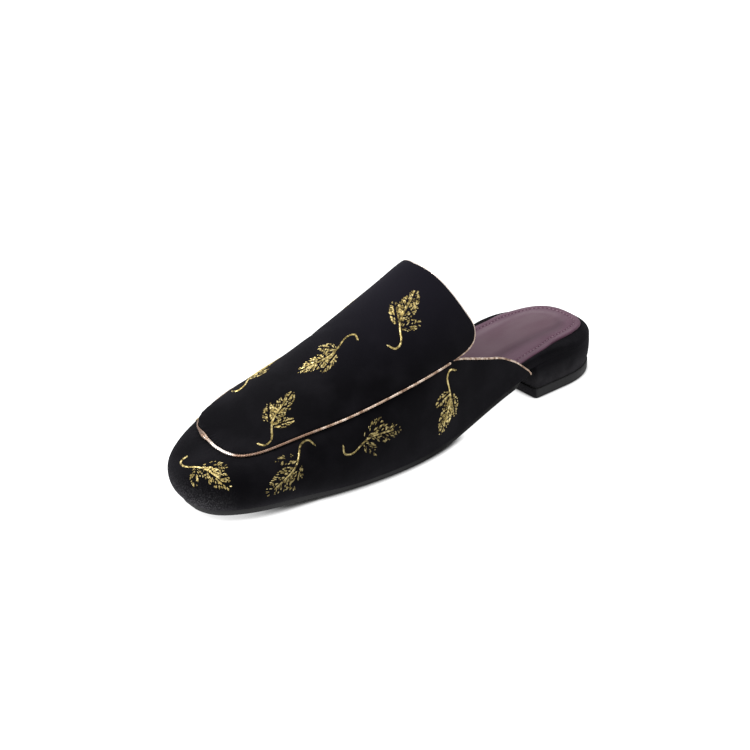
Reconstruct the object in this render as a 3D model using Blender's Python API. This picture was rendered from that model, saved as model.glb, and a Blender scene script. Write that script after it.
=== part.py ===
"""A left backless loafer: a hollow upper with a raised apron, piping, insole, wrapped footbed,
outsole, covered block heel and top lift. One object for each piece, in metres, +Z up.
The toe points to -Y, the heel to +Y, and the outer (lateral) side of the foot is +X."""

import math

import bmesh
import bpy
from mathutils import Vector

# ---- driving dimensions, in millimetres ----
MM = 0.001
LENGTH = 250.0          # heel end of the outline to the toe tip
HEEL_OVERHANG = 0.7     # how far the heel's roundest level stands behind station 0
SIDE_SHIFT = 0.2        # centres the widths on the Z axis
WALL = 2.0              # velvet, stiffener and lining of the upper together
GAP = 0.3               # between pieces that touch
GIRTH_LEVEL = 0.2       # level of a section's widest line
GIRTH_CURVE = 0.35      # how soon the section turns in below its widest line

# Plan outline at the widest line. Stations run from the heel (0) to the toe tip (LENGTH).
OUTLINE = {
    "station": (40, 75, 110, 145, 175, 200, 220, 236, 246),
    "outer":   (28.7, 30.3, 34.6, 38.7, 37.9, 35.1, 32.0, 24.7, 15.1),
    "inner":   (28.3, 27.4, 29.1, 34.6, 38.9, 39.1, 34.2, 25.9, 16.1),
}
TOE_TIP_SIDE = -0.7     # the toe tip lies a little to the inner side
# Height of the feather line, where the upper's lower edge meets the sole.
FEATHER = {
    "station": (0, 20, 40, 60, 75, 90, 120, 150, 180, 210, 235, 250),
    "height":  (19.4, 19.4, 19.1, 17.4, 14.9, 11.4, 4.5, 3.2, 3.3, 5.6, 7.3, 7.6),
}
# The ridge is the top line of the upper, from the instep to its foremost point above the toes.
RIDGE = {
    "station": (40, 75, 105, 130, 160, 185, 200, 213),
    "height":  (94.6, 92.9, 86.5, 74.9, 58.4, 47.9, 42.4, 35.7),
    "side":    (0, -0.1, -0.6, -0.7, -1.5, -2.1, -3.0, -3.2),
}
FAN_START = 176.0       # from here forward the sections fan round the toe,
FAN_END = 243.0         # and from here they all meet the ridge at its foremost point
# Shape of the sections: height of the widest line over the feather line, fullness of the
# quarter curve above it, and how far the feather line is tucked under.
SECTION = {
    "station":  (40, 105, 150, 200, 250),
    "rise":     (14.7, 17.5, 16.3, 12.9, 9.2),
    "fullness": (0.60, 0.60, 0.61, 0.62, 0.62),
    "tuck":     (0.8, 0.6, 2.6, 5.2, 4.6),
}
# Edges of the panels. "place" counts from the toe tip (0) back to the heel end (1) along the
# outline, "level" from the feather line (0) to the ridge (1).
APRON_SEAM = {
    "place": (0.0, 0.03, 0.075, 0.11, 0.14, 0.17, 0.2, 0.235, 0.27, 0.32, 0.36, 0.45, 0.55, 0.61, 0.67),
    "outer": (0.803, 0.799, 0.775, 0.738, 0.697, 0.664, 0.637, 0.611, 0.586, 0.557, 0.537, 0.493, 0.442,
              0.416, 0.392),
    "inner": (0.803, 0.804, 0.786, 0.747, 0.690, 0.610, 0.560, 0.540, 0.532, 0.525, 0.516, 0.488, 0.442,
              0.416, 0.392),
}
WING_EDGE = {
    "place": (0.67, 0.695, 0.725, 0.755, 0.785, 0.818, 0.843, 0.865, 0.887, 0.902),
    "level": (0.392, 0.366, 0.333, 0.300, 0.267, 0.233, 0.202, 0.165, 0.112, 0.066),
}
WING_TIP = (0.915, 0.03)
# The free edge of the apron: forward end at the seam, round its corner and up to the ridge.
CORNER_EDGE = {
    "place": (0.67, 0.695, 0.720, 0.742),
    "level": (0.392, 0.386, 0.383, 0.400),
}
THROAT_EDGE = {
    "place": (0.742, 0.749, 0.741, 0.727, 0.715, 0.705, 0.698, 0.697),
    "level": (0.400, 0.440, 0.512, 0.600, 0.705, 0.830, 0.940, 1.0),
}
# Rings of the heel: height, half width and how far the back stands from station 0.
HEEL_LIFT = {"height": (0.0, 1.0, 5.2), "half": (25.0, 25.2, 25.2), "back": (2.2, 1.9, 1.8)}
HEEL_BLOCK = {
    "height": (5.5, 8.0, 12.0, 15.5, 18.8),
    "half":   (25.1, 25.5, 25.7, 25.6, 25.4),
    "back":   (1.6, 0.5, -0.4, -0.7, -0.6),
}
BREAST = 51.5           # station of the heel's front face at the floor
BREAST_LEAN = 1.6       # how much further forward the face is at its top
HEEL_ROUND = 30.0       # length of the rounded back
HEEL_POWER = 2.3        # squareness of the rounded back
# Insole: its heel end is a squared half round that widens forward.
INSOLE_THICK = 1.2
INSOLE_BACK = 4.7
INSOLE_HALF = 17.9
INSOLE_TAPER = 0.085
INSOLE_ROUND = 20.0
INSOLE_POWER = 2.5
INSOLE_ARCH = 2.3       # how far the inner side draws in at the arch,
ARCH_START = 32.0       # between these stations
ARCH_END = 52.0
# Footbed: rolled over from its widest ring at the bottom to the insole's edge at the top. The
# roll is round at the heel and tight at the waist.
BED_THICK = 3.5
BED_HALF = 25.4
BED_BACK = -0.6
BED_ROLL = {
    "share": (0.0, 0.2, 0.58, 0.87, 1.0),
    "heel":  (0.0, 0.04, 0.26, 0.60, 1.0),
    "waist": (0.0, 0.01, 0.05, 0.20, 1.0),
}
ROLL_START = 16.0       # stations between which the roll tightens
ROLL_END = 46.0
BED_CLEAR = 1.7         # from the upper's wall to the footbed, at its foot
INSOLE_CLEAR = 1.3      # from the upper's wall to the insole
INSOLE_TUCK = 0.45      # share of the upper's tuck left at the insole's height
SEAT_FRONT = 44.0       # station where the straight sides of the heel seat end
HEEL_SEAT_END = 58.0    # where the wings start and the footbed begins to follow the upper
WAIST_END = 95.0        # where the insole reaches its full width between the walls
SOLE_THICK = 3.0
SOLE_INSET = 1.2        # the outsole stays in from the feather line
SOLE_REAR_HALF = 24.6   # its half width at the heel's front face
SOLE_WAIST_END = 67.0   # station where it has its full width
PLATE_TIP = 0.02        # place of the foremost points of the plates, each side of the toe tip
NARROWEST = 0.4         # half width of the plates' rearmost row
PIPING_RADIUS = 0.55
SEAM_CORD_END = 0.655   # places where the three cords stop short of the corner they share
THROAT_CORD_START = 0.689
WING_CORD_START = 0.715

WING_COLUMNS = 10
CORNER_COLUMNS = 4
FRONT_COLUMNS = 25
LOWER_ROWS = 6
APRON_ROWS = 10


# ---- curves through the tables ----
def spline(xs, ys):
    """Natural cubic spline through the rows of a table, as a function."""
    n = len(xs)
    h = [xs[i + 1] - xs[i] for i in range(n - 1)]
    slope = [(ys[i + 1] - ys[i]) / h[i] for i in range(n - 1)]
    lower = [0.0] * n
    bend = [0.0] * n
    for i in range(1, n - 1):
        pivot = 2 * (h[i - 1] + h[i]) - h[i - 1] * lower[i - 1]
        lower[i] = h[i] / pivot
        bend[i] = (6 * (slope[i] - slope[i - 1]) - h[i - 1] * bend[i - 1]) / pivot
    for i in range(n - 2, 0, -1):
        bend[i] -= lower[i] * bend[i + 1]

    def value(x):
        x = min(max(x, xs[0]), xs[-1])
        i = 0
        while i < n - 2 and x > xs[i + 1]:
            i += 1
        a = xs[i + 1] - x
        b = x - xs[i]
        cubic = (bend[i] * a ** 3 + bend[i + 1] * b ** 3) / (6 * h[i])
        line = (ys[i] / h[i] - bend[i] * h[i] / 6) * a + (ys[i + 1] / h[i] - bend[i + 1] * h[i] / 6) * b
        return cubic + line

    return value


def smooth_step(x, start, end):
    q = min(max((x - start) / (end - start), 0.0), 1.0)
    return q * q * (3 - 2 * q)


def outline_curve():
    """The closed front of the plan outline: place -1 is the outer heel end, 0 the toe tip, 1 the
    inner heel end. It returns (station, side) and runs through the table by chord length."""
    stations = list(OUTLINE["station"])
    along = stations + [LENGTH] + stations[::-1]
    across = list(OUTLINE["outer"]) + [TOE_TIP_SIDE] + [-w for w in OUTLINE["inner"][::-1]]
    chord = [0.0]
    for i in range(1, len(along)):
        chord.append(chord[-1] + math.hypot(along[i] - along[i - 1], across[i] - across[i - 1]))
    half = len(stations)
    front = chord[half]
    rest = chord[-1] - front
    place = [c / front - 1 if i <= half else (c - front) / rest for i, c in enumerate(chord)]
    station = spline(place, along)
    side = spline(place, across)
    return lambda s: (station(s), side(s))


outline = outline_curve()
feather_height = spline(FEATHER["station"], FEATHER["height"])
ridge_height = spline(RIDGE["station"], RIDGE["height"])
ridge_side = spline(RIDGE["station"], RIDGE["side"])
section_rise = spline(SECTION["station"], SECTION["rise"])
section_fullness = spline(SECTION["station"], SECTION["fullness"])
section_tuck = spline(SECTION["station"], SECTION["tuck"])
seam_level = {-1: spline(APRON_SEAM["place"], APRON_SEAM["outer"]),
              1: spline(APRON_SEAM["place"], APRON_SEAM["inner"])}
wing_level = spline(WING_EDGE["place"], WING_EDGE["level"])


def ridge_station(place):
    """Where a section meets the ridge: straight above its outline points up to FAN_START, then
    ever more behind them, so that the sections fan round the toe from one foremost point."""
    station = (outline(-place)[0] + outline(place)[0]) / 2
    reach = FAN_END - FAN_START
    q = min((station - FAN_START) / reach, 1.0)
    if q <= 0:
        return station
    share = (RIDGE["station"][-1] - FAN_START) / reach
    return FAN_START + reach * (q - 2 * q ** 2 + q ** 3 + share * (3 * q ** 2 - 2 * q ** 3))


def place_point(station, side, height):
    """A point in metres from its station, side and height."""
    y = (LENGTH - HEEL_OVERHANG) / 2 - station
    return Vector(((side + SIDE_SHIFT) * MM, y * MM, height * MM))


def inset_outline(sign, place, distance):
    """(station, side) of the outline moved in by a distance, towards the section's ridge point."""
    station, side = outline(sign * place)
    top = ridge_station(place)
    top_side = ridge_side(top)
    share = distance / math.hypot(top - station, top_side - side)
    return station + (top - station) * share, side + (top_side - side) * share


def upper_point(sign, place, level):
    """A point of the upper's outer face. sign is -1 on the outer and 1 on the inner side."""
    station, side = outline(sign * place)
    base = feather_height(station)
    widest = base + section_rise(station)
    if level <= GIRTH_LEVEL:
        q = level / GIRTH_LEVEL
        bend = base + GIRTH_CURVE * (widest - base)
        height = base * (1 - q) ** 2 + bend * 2 * q * (1 - q) + widest * q * q
        return place_point(*inset_outline(sign, place, section_tuck(station) * (1 - q) ** 2), height)
    top = ridge_station(place)
    top_side = ridge_side(top)
    q = (level - GIRTH_LEVEL) / (1 - GIRTH_LEVEL)
    full = section_fullness(station)
    out = (1 - q) ** 3 + 3 * (1 - q) ** 2 * q + full * 3 * (1 - q) * q * q
    crest = ridge_height(top)
    slope = crest - ridge_height(top - 1.0)
    shoulder = crest + slope * (station - top) * full
    height = widest * (1 - q) ** 3 + (widest + (crest - widest) * full) * 3 * (1 - q) ** 2 * q
    height += shoulder * 3 * (1 - q) * q * q + crest * q ** 3
    return place_point(top + (station - top) * out, top_side + (side - top_side) * out, height)


def upper_normal(sign, place, level):
    """Unit vector out of the upper's outer face."""
    step = 0.004
    ahead = upper_point(sign, max(place - step, 0.0), level)
    behind = upper_point(sign, place + step, level)
    above = upper_point(sign, place, min(level + step, 1.0))
    below = upper_point(sign, place, max(level - step, 0.0))
    return ((above - below).cross(ahead - behind) * -sign).normalized()


def place_at(sign, station):
    """The place where one side of the outline passes a station."""
    low = 0.0
    high = 1.0
    for _ in range(30):
        middle = (low + high) / 2
        if outline(sign * middle)[0] > station:
            low = middle
        else:
            high = middle
    return low


def edge_points(rows, count):
    """count + 1 (place, level) points, evenly spaced on a smooth curve through rows of them."""
    chord = [0.0]
    for (p0, v0), (p1, v1) in zip(rows, rows[1:]):
        chord.append(chord[-1] + math.hypot(p1 - p0, (v1 - v0) / 2))
    place = spline(chord, [r[0] for r in rows])
    level = spline(chord, [r[1] for r in rows])
    steps = [chord[-1] * i / count for i in range(count + 1)]
    return [(place(s), level(s)) for s in steps]


def rows_of(table):
    return list(zip(table["place"], table["level"]))


# ---- building ----
def clear_scene():
    for item in list(bpy.data.objects):
        bpy.data.objects.remove(item, do_unlink=True)


def material(name, colour, roughness, metallic=0.0):
    made = bpy.data.materials.new(name)
    made.use_nodes = True
    shader = made.node_tree.nodes["Principled BSDF"]
    shader.inputs["Base Color"].default_value = (*colour, 1.0)
    shader.inputs["Roughness"].default_value = roughness
    shader.inputs["Metallic"].default_value = metallic
    return made


def object_from(name, body, finish):
    """An object from a bmesh, shaded smooth with sharp rims."""
    mesh = bpy.data.meshes.new(name)
    body.to_mesh(mesh)
    body.free()
    mesh.shade_smooth()
    mesh.set_sharp_from_angle(angle=math.radians(40))
    mesh.materials.append(finish)
    made = bpy.data.objects.new(name, mesh)
    bpy.context.scene.collection.objects.link(made)
    return made


def quarter_columns(sign):
    """Columns of (place, level) from a wing's tip to the toe, each from the feather line up to
    the wing's edge or the apron seam."""
    corner = APRON_SEAM["place"][-1]
    columns = []
    for i in range(WING_COLUMNS + FRONT_COLUMNS + 1):
        if i < WING_COLUMNS:
            place = WING_TIP[0] + (corner - WING_TIP[0]) * i / WING_COLUMNS
            top = wing_level(place) if i else WING_TIP[1]
        else:
            place = corner * (1 - (i - WING_COLUMNS) / FRONT_COLUMNS)
            top = seam_level[sign](place)
        columns.append([(place, top * j / LOWER_ROWS) for j in range(LOWER_ROWS + 1)])
    return columns


def apron_columns(sign):
    """Columns of (place, level) from the throat edge to the toe, each from the apron's foot, which
    is its free corner and then its seam, up to the ridge."""
    corner = APRON_SEAM["place"][-1]
    foot = edge_points(rows_of(CORNER_EDGE), CORNER_COLUMNS)[:0:-1]
    for i in range(FRONT_COLUMNS + 1):
        place = corner * (1 - i / FRONT_COLUMNS)
        foot.append((place, seam_level[sign](place)))
    throat = edge_points(rows_of(THROAT_EDGE), APRON_ROWS)
    columns = []
    for i, (place, level) in enumerate(foot):
        share = i / (len(foot) - 1)
        ridge_place = throat[-1][0] * (1 - share)
        pull = 1 - smooth_step(share, 0.0, 0.5)
        column = []
        for j, (edge_place, edge_level) in enumerate(throat):
            q = j / APRON_ROWS
            beyond = edge_place - foot[0][0] * (1 - q) - throat[-1][0] * q
            above = edge_level - foot[0][1] * (1 - q) - q
            column.append((place * (1 - q) + ridge_place * q + beyond * pull,
                           level * (1 - q) + q + above * pull))
        columns.append(column)
    return columns


def make_upper(finish):
    """The hollow upper: its outer face in rows and columns over the last, given a wall inward."""
    shell = bmesh.new()
    for sign in (-1, 1):
        for panel in (quarter_columns(sign), apron_columns(sign)):
            columns = []
            for column in panel:
                columns.append([shell.verts.new(upper_point(sign, p, v)) for p, v in column])
            for rear, fore in zip(columns, columns[1:]):
                for j in range(len(rear) - 1):
                    corners = [rear[j], rear[j + 1], fore[j + 1], fore[j]]
                    shell.faces.new(corners if sign < 0 else corners[::-1])
    bmesh.ops.remove_doubles(shell, verts=shell.verts, dist=0.0001)
    upper = object_from("upper", shell, finish)
    wall = upper.modifiers.new("wall", "SOLIDIFY")
    wall.thickness = WALL * MM
    wall.offset = -1.0
    wall.use_rim = True


def half_round(half, taper, back, length, power, front, rows=9):
    """One side of a heel ring from its back to its front, as (station, half width) pairs."""
    pairs = []
    for i in range(rows + 1):
        turn = math.pi / 2 * i / rows
        ahead = length * (1 - math.cos(turn) ** (2 / power))
        pairs.append((back + ahead, (half + taper * ahead) * math.sin(turn) ** (2 / power)))
    pairs.append((front, half + taper * (front - back)))
    return pairs


def layered(name, levels, finish, columns=6):
    """A solid from stacked levels of (outer, inner) point pairs, each level listed from back to
    front. The levels' sides are bridged, and the lowest and highest level are filled across."""
    body = bmesh.new()
    rings = []
    for level in levels:
        ends = []
        for outer, inner in (level[-1], level[0]):
            ends.append([outer.lerp(inner, c / columns) for c in range(1, columns)])
        ring = [pair[0] for pair in level] + ends[0]
        ring += [pair[1] for pair in reversed(level)] + ends[1][::-1]
        rings.append([body.verts.new(point) for point in ring])
    for below, above in zip(rings, rings[1:]):
        for i in range(len(below)):
            ahead = (i + 1) % len(below)
            body.faces.new((below[i], below[ahead], above[ahead], above[i]))
    rows = len(levels[0])
    for ring in (rings[0], rings[-1]):
        outer = ring[:rows]
        front = ring[rows:rows + columns - 1]
        inner = ring[rows + columns - 1:2 * rows + columns - 1][::-1]
        back = ring[2 * rows + columns - 1:][::-1]
        grid = [[outer[0], *back, inner[0]]]
        for left, right in zip(outer[1:-1], inner[1:-1]):
            across = [body.verts.new(left.co.lerp(right.co, c / columns)) for c in range(1, columns)]
            grid.append([left, *across, right])
        grid.append([outer[-1], *front, inner[-1]])
        for rear, fore in zip(grid, grid[1:]):
            for c in range(columns):
                body.faces.new((rear[c], rear[c + 1], fore[c + 1], fore[c]))
    bmesh.ops.recalc_face_normals(body, faces=body.faces)
    return object_from(name, body, finish)


def heel_level(half, back, front, height_of):
    """A level of the heel, equal on both sides."""
    level = []
    for station, width in half_round(half, 0.0, back, HEEL_ROUND, HEEL_POWER, 0.0)[:-1]:
        level.append((station, max(width, NARROWEST)))
    level += [((level[-1][0] + front) / 2, half), (front, half)]
    return [(place_point(t, w, height_of(t)), place_point(t, -w, height_of(t))) for t, w in level]


def make_heel(finish, rubber):
    """The covered block and, under it, the top lift."""
    top = HEEL_BLOCK["height"][-1]
    for name, table, look in (("top_lift", HEEL_LIFT, rubber), ("heel_block", HEEL_BLOCK, finish)):
        levels = []
        for height, half, back in zip(*table.values()):
            front = BREAST + BREAST_LEAN * height / top
            if height == top:
                levels.append(heel_level(half, back, front, lambda t: feather_height(t) - GAP))
            else:
                levels.append(heel_level(half, back, front, lambda t, h=height: h))
        layered(name, levels, look)


def bed_ring(kind):
    """One ring of the footbed or insole: (outer, inner) pairs of (station, side), back to front.
    kind is "foot", the footbed's widest ring, or "edge", the insole's outline."""
    if kind == "foot":
        seat = half_round(BED_HALF, 0.0, BED_BACK, HEEL_ROUND, HEEL_POWER, SEAT_FRONT)
    else:
        seat = half_round(INSOLE_HALF, INSOLE_TAPER, INSOLE_BACK, INSOLE_ROUND, INSOLE_POWER, SEAT_FRONT)
    arch = INSOLE_ARCH if kind == "edge" else 0.0
    ring = []
    for station, width in seat:
        width = max(width, NARROWEST)
        ring.append(((station, width), (station, arch * smooth_step(station, ARCH_START, ARCH_END) - width)))
    foremost = place_at(-1, HEEL_SEAT_END)
    rows = 26
    for i in range(rows + 1):
        place = foremost * (1 - i / rows) + PLATE_TIP * i / rows
        pair = []
        for sign in (-1, 1):
            station, side = outline(sign * place)
            tuck = section_tuck(station)
            if kind == "foot":
                distance = tuck + WALL + BED_CLEAR
            else:
                seat_half = INSOLE_HALF + INSOLE_TAPER * (station - INSOLE_BACK)
                share = smooth_step(station, HEEL_SEAT_END, WAIST_END)
                between_walls = INSOLE_TUCK * tuck + WALL + INSOLE_CLEAR
                drawn_in = arch if sign > 0 else 0.0
                distance = (abs(side) - seat_half + drawn_in) * (1 - share) + between_walls * share
            pair.append(inset_outline(sign, place, distance))
        ring.append(tuple(pair))
    return ring


def plate_level(ring, height_of):
    """Points of a ring at a height that follows the station."""
    return [tuple(place_point(t, x, height_of(t)) for t, x in pair) for pair in ring]


def make_footbed(finish):
    """The wrapped board that the foot stands on, rolled over at its edge."""
    foot = bed_ring("foot")
    edge = bed_ring("edge")
    levels = []
    for share, heel, waist in zip(*BED_ROLL.values()):
        ring = []
        for low, high in zip(foot, edge):
            pair = []
            for a, b in zip(low, high):
                inward = heel + (waist - heel) * smooth_step(a[0], ROLL_START, ROLL_END)
                pair.append((a[0] + (b[0] - a[0]) * inward, a[1] + (b[1] - a[1]) * inward))
            ring.append(tuple(pair))
        levels.append(plate_level(ring, lambda t, s=share: feather_height(t) + BED_THICK * s))
    layered("footbed", levels, finish)


def make_insole(finish):
    """The leather sock on the footbed."""
    edge = bed_ring("edge")
    levels = []
    for rise in (0.0, INSOLE_THICK):
        levels.append(plate_level(edge, lambda t, r=rise: feather_height(t) + BED_THICK + GAP + r))
    layered("insole", levels, finish)


def make_outsole(finish):
    """The thin sole from the heel's front face to the toe, flat under the ball of the foot."""
    rear = BREAST + BREAST_LEAN + GAP
    rows = 34
    ring = []
    for i in range(rows + 1):
        pair = []
        for sign in (-1, 1):
            place = place_at(sign, rear) * (1 - i / rows) + PLATE_TIP * i / rows
            station, side = outline(sign * place)
            share = smooth_step(station, rear, SOLE_WAIST_END)
            at_rear = abs(side) - SOLE_REAR_HALF
            in_front = section_tuck(station) + SOLE_INSET
            pair.append(inset_outline(sign, place, at_rear * (1 - share) + in_front * share))
        ring.append(tuple(pair))
    low = plate_level(ring, lambda t: max(feather_height(t) - GAP - SOLE_THICK, 0.0))
    high = plate_level(ring, lambda t: feather_height(t) - GAP)
    layered("outsole", [low, high], finish)


def tube(name, points, finish):
    """A round cord through points, with closed ends."""
    curve = bpy.data.curves.new(name, "CURVE")
    curve.dimensions = "3D"
    curve.bevel_depth = PIPING_RADIUS * MM
    curve.bevel_resolution = 1
    curve.use_fill_caps = True
    line = curve.splines.new("POLY")
    line.points.add(len(points) - 1)
    for knot, point in zip(line.points, points):
        knot.co = (*point, 1.0)
    curve.materials.append(finish)
    made = bpy.data.objects.new(name, curve)
    bpy.context.scene.collection.objects.link(made)


def edge_path(sign, points, inside):
    """A path just off an edge of the upper. inside is the (place, level) step into the leather."""
    path = []
    for i, (place, level) in enumerate(points):
        here = upper_point(sign, place, level)
        p0, v0 = points[max(i - 1, 0)]
        p1, v1 = points[min(i + 1, len(points) - 1)]
        along = upper_point(sign, p1, v1) - upper_point(sign, p0, v0)
        normal = upper_normal(sign, place, level)
        away = along.cross(normal).normalized()
        inward = upper_point(sign, place + inside[0], level + inside[1]) - here
        if away.dot(inward) > 0:
            away.negate()
        path.append(here + away * (PIPING_RADIUS + GAP) * MM - normal * PIPING_RADIUS * MM)
    return path


def make_piping(finish):
    """Cords over the apron seam, round the throat and along both wings."""
    seam = []
    steps = 34
    places = [SEAM_CORD_END * (1 - i / steps) for i in range(steps + 1)]
    for sign, order in ((-1, places), (1, places[-2::-1])):
        for place in order:
            level = seam_level[sign](place)
            lift = upper_normal(sign, place, level) * (PIPING_RADIUS + GAP) * MM
            seam.append(upper_point(sign, place, level) + lift)
    tube("apron_piping", seam, finish)
    free_edge = rows_of(CORNER_EDGE) + rows_of(THROAT_EDGE)[1:]
    throat = [edge for edge in edge_points(free_edge, 30)[1:] if edge[0] > THROAT_CORD_START]
    path = edge_path(-1, throat, (-0.01, 0.004)) + edge_path(1, throat, (-0.01, 0.004))[-2::-1]
    tube("throat_piping", path, finish)
    reach = WING_EDGE["place"][-1] - WING_CORD_START
    edge = []
    for i in range(19):
        place = WING_CORD_START + reach * i / 18
        edge.append((place, wing_level(place)))
    for sign, name in ((-1, "outer_wing_piping"), (1, "inner_wing_piping")):
        tube(name, edge_path(sign, edge, (0.0, -0.01)), finish)


def main():
    clear_scene()
    velvet = material("velvet", (0.012, 0.011, 0.015), 0.95)
    cord = material("cord", (0.62, 0.47, 0.33), 0.35, 0.9)
    leather = material("insole_leather", (0.09, 0.045, 0.07), 0.5)
    rubber = material("rubber", (0.03, 0.03, 0.033), 0.7)
    make_upper(velvet)
    make_footbed(velvet)
    make_insole(leather)
    make_outsole(rubber)
    make_heel(velvet, rubber)
    make_piping(cord)


main()
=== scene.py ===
import math

import bmesh
import bpy
import numpy as np
from mathutils import Matrix, Vector


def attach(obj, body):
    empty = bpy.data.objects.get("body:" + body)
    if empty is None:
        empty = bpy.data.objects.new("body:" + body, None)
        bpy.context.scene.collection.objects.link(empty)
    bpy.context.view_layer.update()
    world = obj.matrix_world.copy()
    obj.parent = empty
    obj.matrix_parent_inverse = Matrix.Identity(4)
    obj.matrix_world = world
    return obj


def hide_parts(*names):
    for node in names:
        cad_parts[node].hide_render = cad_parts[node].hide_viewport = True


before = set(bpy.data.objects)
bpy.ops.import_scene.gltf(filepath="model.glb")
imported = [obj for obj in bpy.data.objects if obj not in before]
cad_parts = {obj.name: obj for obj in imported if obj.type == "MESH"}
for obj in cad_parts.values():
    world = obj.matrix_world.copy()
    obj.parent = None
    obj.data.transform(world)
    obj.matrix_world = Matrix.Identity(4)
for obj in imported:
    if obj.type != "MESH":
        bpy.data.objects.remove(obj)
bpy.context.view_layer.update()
mm = 0.001

# The last repeats the solids' named sizes, with a few rows refined. Place runs from the toe tip (0)
# back to the heel end (1), minus on the outer side, and level from the feather line (0) to the ridge (1).
last = {
    "length": 250.0,
    "heelOverhang": 0.7,  # how far the heel's roundest level stands behind station 0
    "sideShift": 0.2,  # centres the widths
    "girthLevel": 0.2,  # level of a section's widest line
    "girthCurve": 0.35,  # how soon it turns in below that
    "toeTipSide": -0.7,
    "fanStart": 176.0,
    "fanEnd": 243.0,
}
# half widths at the widest line
outlineRows = {
    "station": (40, 75, 110, 145, 175, 200, 220, 236, 246),
    "outer": (28.7, 30.3, 34.6, 38.7, 37.9, 35.1, 32.0, 24.7, 15.1),
    "inner": (28.3, 27.4, 29.1, 34.6, 38.9, 39.1, 34.2, 25.9, 16.1),
}
# the feather line, where the upper's lower edge meets the sole
featherRows = {
    "station": (0, 20, 40, 60, 75, 90, 120, 150, 180, 210, 235, 250),
    "height": (19.4, 19.4, 19.1, 17.4, 14.9, 11.4, 4.5, 3.2, 3.3, 6.3, 7.4, 7.6),
}
ridgeRows = {
    "station": (40, 75, 96, 106, 117, 130, 145, 160, 185, 200, 213),
    "height": (94.4, 92.2, 86.6, 85.5, 80.85, 74.4, 66.4, 58.4, 47.9, 42.4, 35.7),
    "side": (0, -0.1, -0.5, -0.6, -0.6, -0.7, -1.1, -1.5, -2.1, -3.0, -3.2),
}
# how high the widest line lies over the feather line, how full the section is above it,
# and how far it tucks in below
sectionRows = {
    "station": (40, 105, 150, 200, 250),
    "rise": (14.7, 17.5, 16.3, 12.9, 9.2),
    "fullness": (0.60, 0.60, 0.61, 0.62, 0.62),
    "tuck": (0.8, 0.6, 2.6, 6.0, 3.9),
}
# levels of the apron seam, then of the wings' edge
seamRows = {
    "place": (0.0, 0.03, 0.075, 0.11, 0.14, 0.17, 0.2, 0.235, 0.27, 0.32, 0.36, 0.45, 0.55, 0.61, 0.67),
    "outer": (0.803, 0.799, 0.775, 0.738, 0.697, 0.664, 0.637, 0.611, 0.586, 0.557, 0.537, 0.493, 0.442,
              0.416, 0.392),
    "inner": (0.803, 0.804, 0.786, 0.747, 0.690, 0.610, 0.560, 0.540, 0.532, 0.525, 0.516, 0.488, 0.442,
              0.416, 0.392),
}
wingRows = {
    "place": (0.67, 0.695, 0.725, 0.755, 0.785, 0.818, 0.843, 0.865, 0.887, 0.902, 0.911, 0.916),
    "level": (0.392, 0.366, 0.333, 0.300, 0.267, 0.233, 0.202, 0.165, 0.112, 0.066, 0.033, 0.006),
}
# the apron's free edge, round its corner and up the throat
cornerRows = {
    "place": (0.67, 0.695, 0.720, 0.742),
    "level": (0.392, 0.386, 0.383, 0.400),
}
throatRows = {
    "place": (0.742, 0.749, 0.741, 0.727, 0.7145, 0.7045, 0.698, 0.696),
    "level": (0.400, 0.440, 0.512, 0.600, 0.705, 0.830, 0.940, 1.0),
}


def naturalSpline(xs, ys):
    # cubic curve through the rows of a table, straight at both ends
    xs = np.array(xs, float)
    ys = np.array(ys, float)
    n = len(xs)
    h = np.diff(xs)
    slopes = np.diff(ys) / h
    rows = np.eye(n)
    right = np.zeros(n)
    for i in range(1, n - 1):
        rows[i, i - 1:i + 2] = (h[i - 1], 2 * (h[i - 1] + h[i]), h[i])
        right[i] = 6 * (slopes[i] - slopes[i - 1])
    bend = np.linalg.solve(rows, right)

    def value(x):
        x = np.clip(x, xs[0], xs[-1])
        i = np.clip(np.searchsorted(xs, x) - 1, 0, n - 2)
        a = xs[i + 1] - x
        b = x - xs[i]
        w = h[i]
        cubic = (bend[i] * a ** 3 + bend[i + 1] * b ** 3) / (6 * w)
        return cubic + (ys[i] / w - bend[i] * w / 6) * a + (ys[i + 1] / w - bend[i + 1] * w / 6) * b

    return value


def smoothStep(x, start, end):
    q = np.clip((x - start) / (end - start), 0.0, 1.0)
    return q * q * (3 - 2 * q)


def chordLength(points):
    # the length run along a line up to each of its points
    return np.concatenate(([0.0], np.cumsum(np.linalg.norm(np.diff(points, axis=0), axis=1))))


def plateau(x, rise, fall):
    # from 0 to 1 over the first span and back over the second
    return smoothStep(x, *rise) * (1 - smoothStep(x, *fall))


def makeOutline():
    # place runs -1 outer heel end, 0 toe tip, 1 inner heel end
    stations = list(outlineRows["station"])
    along = np.array(stations + [last["length"]] + stations[::-1], float)
    inner = [-w for w in outlineRows["inner"][::-1]]
    across = np.array(list(outlineRows["outer"]) + [last["toeTipSide"]] + inner, float)
    chord = chordLength(np.stack((along, across), -1))
    front = chord[len(stations)]
    place = np.where(chord <= front, chord / front - 1, (chord - front) / (chord[-1] - front))
    station = naturalSpline(place, along)
    side = naturalSpline(place, across)
    return lambda s: (station(s), side(s))


def rowSplines(rows, by, *keys):
    return [naturalSpline(rows[by], rows[key]) for key in keys]


outline = makeOutline()
featherHeight, = rowSplines(featherRows, "station", "height")
ridgeHeight, ridgeSide = rowSplines(ridgeRows, "station", "height", "side")
sectionRise, sectionFullness, sectionTuck = rowSplines(sectionRows, "station", "rise", "fullness", "tuck")
seamOuter, seamInner = rowSplines(seamRows, "place", "outer", "inner")
wingLevel, = rowSplines(wingRows, "place", "level")
cornerAt = seamRows["place"][-1]    # place where seam, wing and apron corner meet


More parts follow.
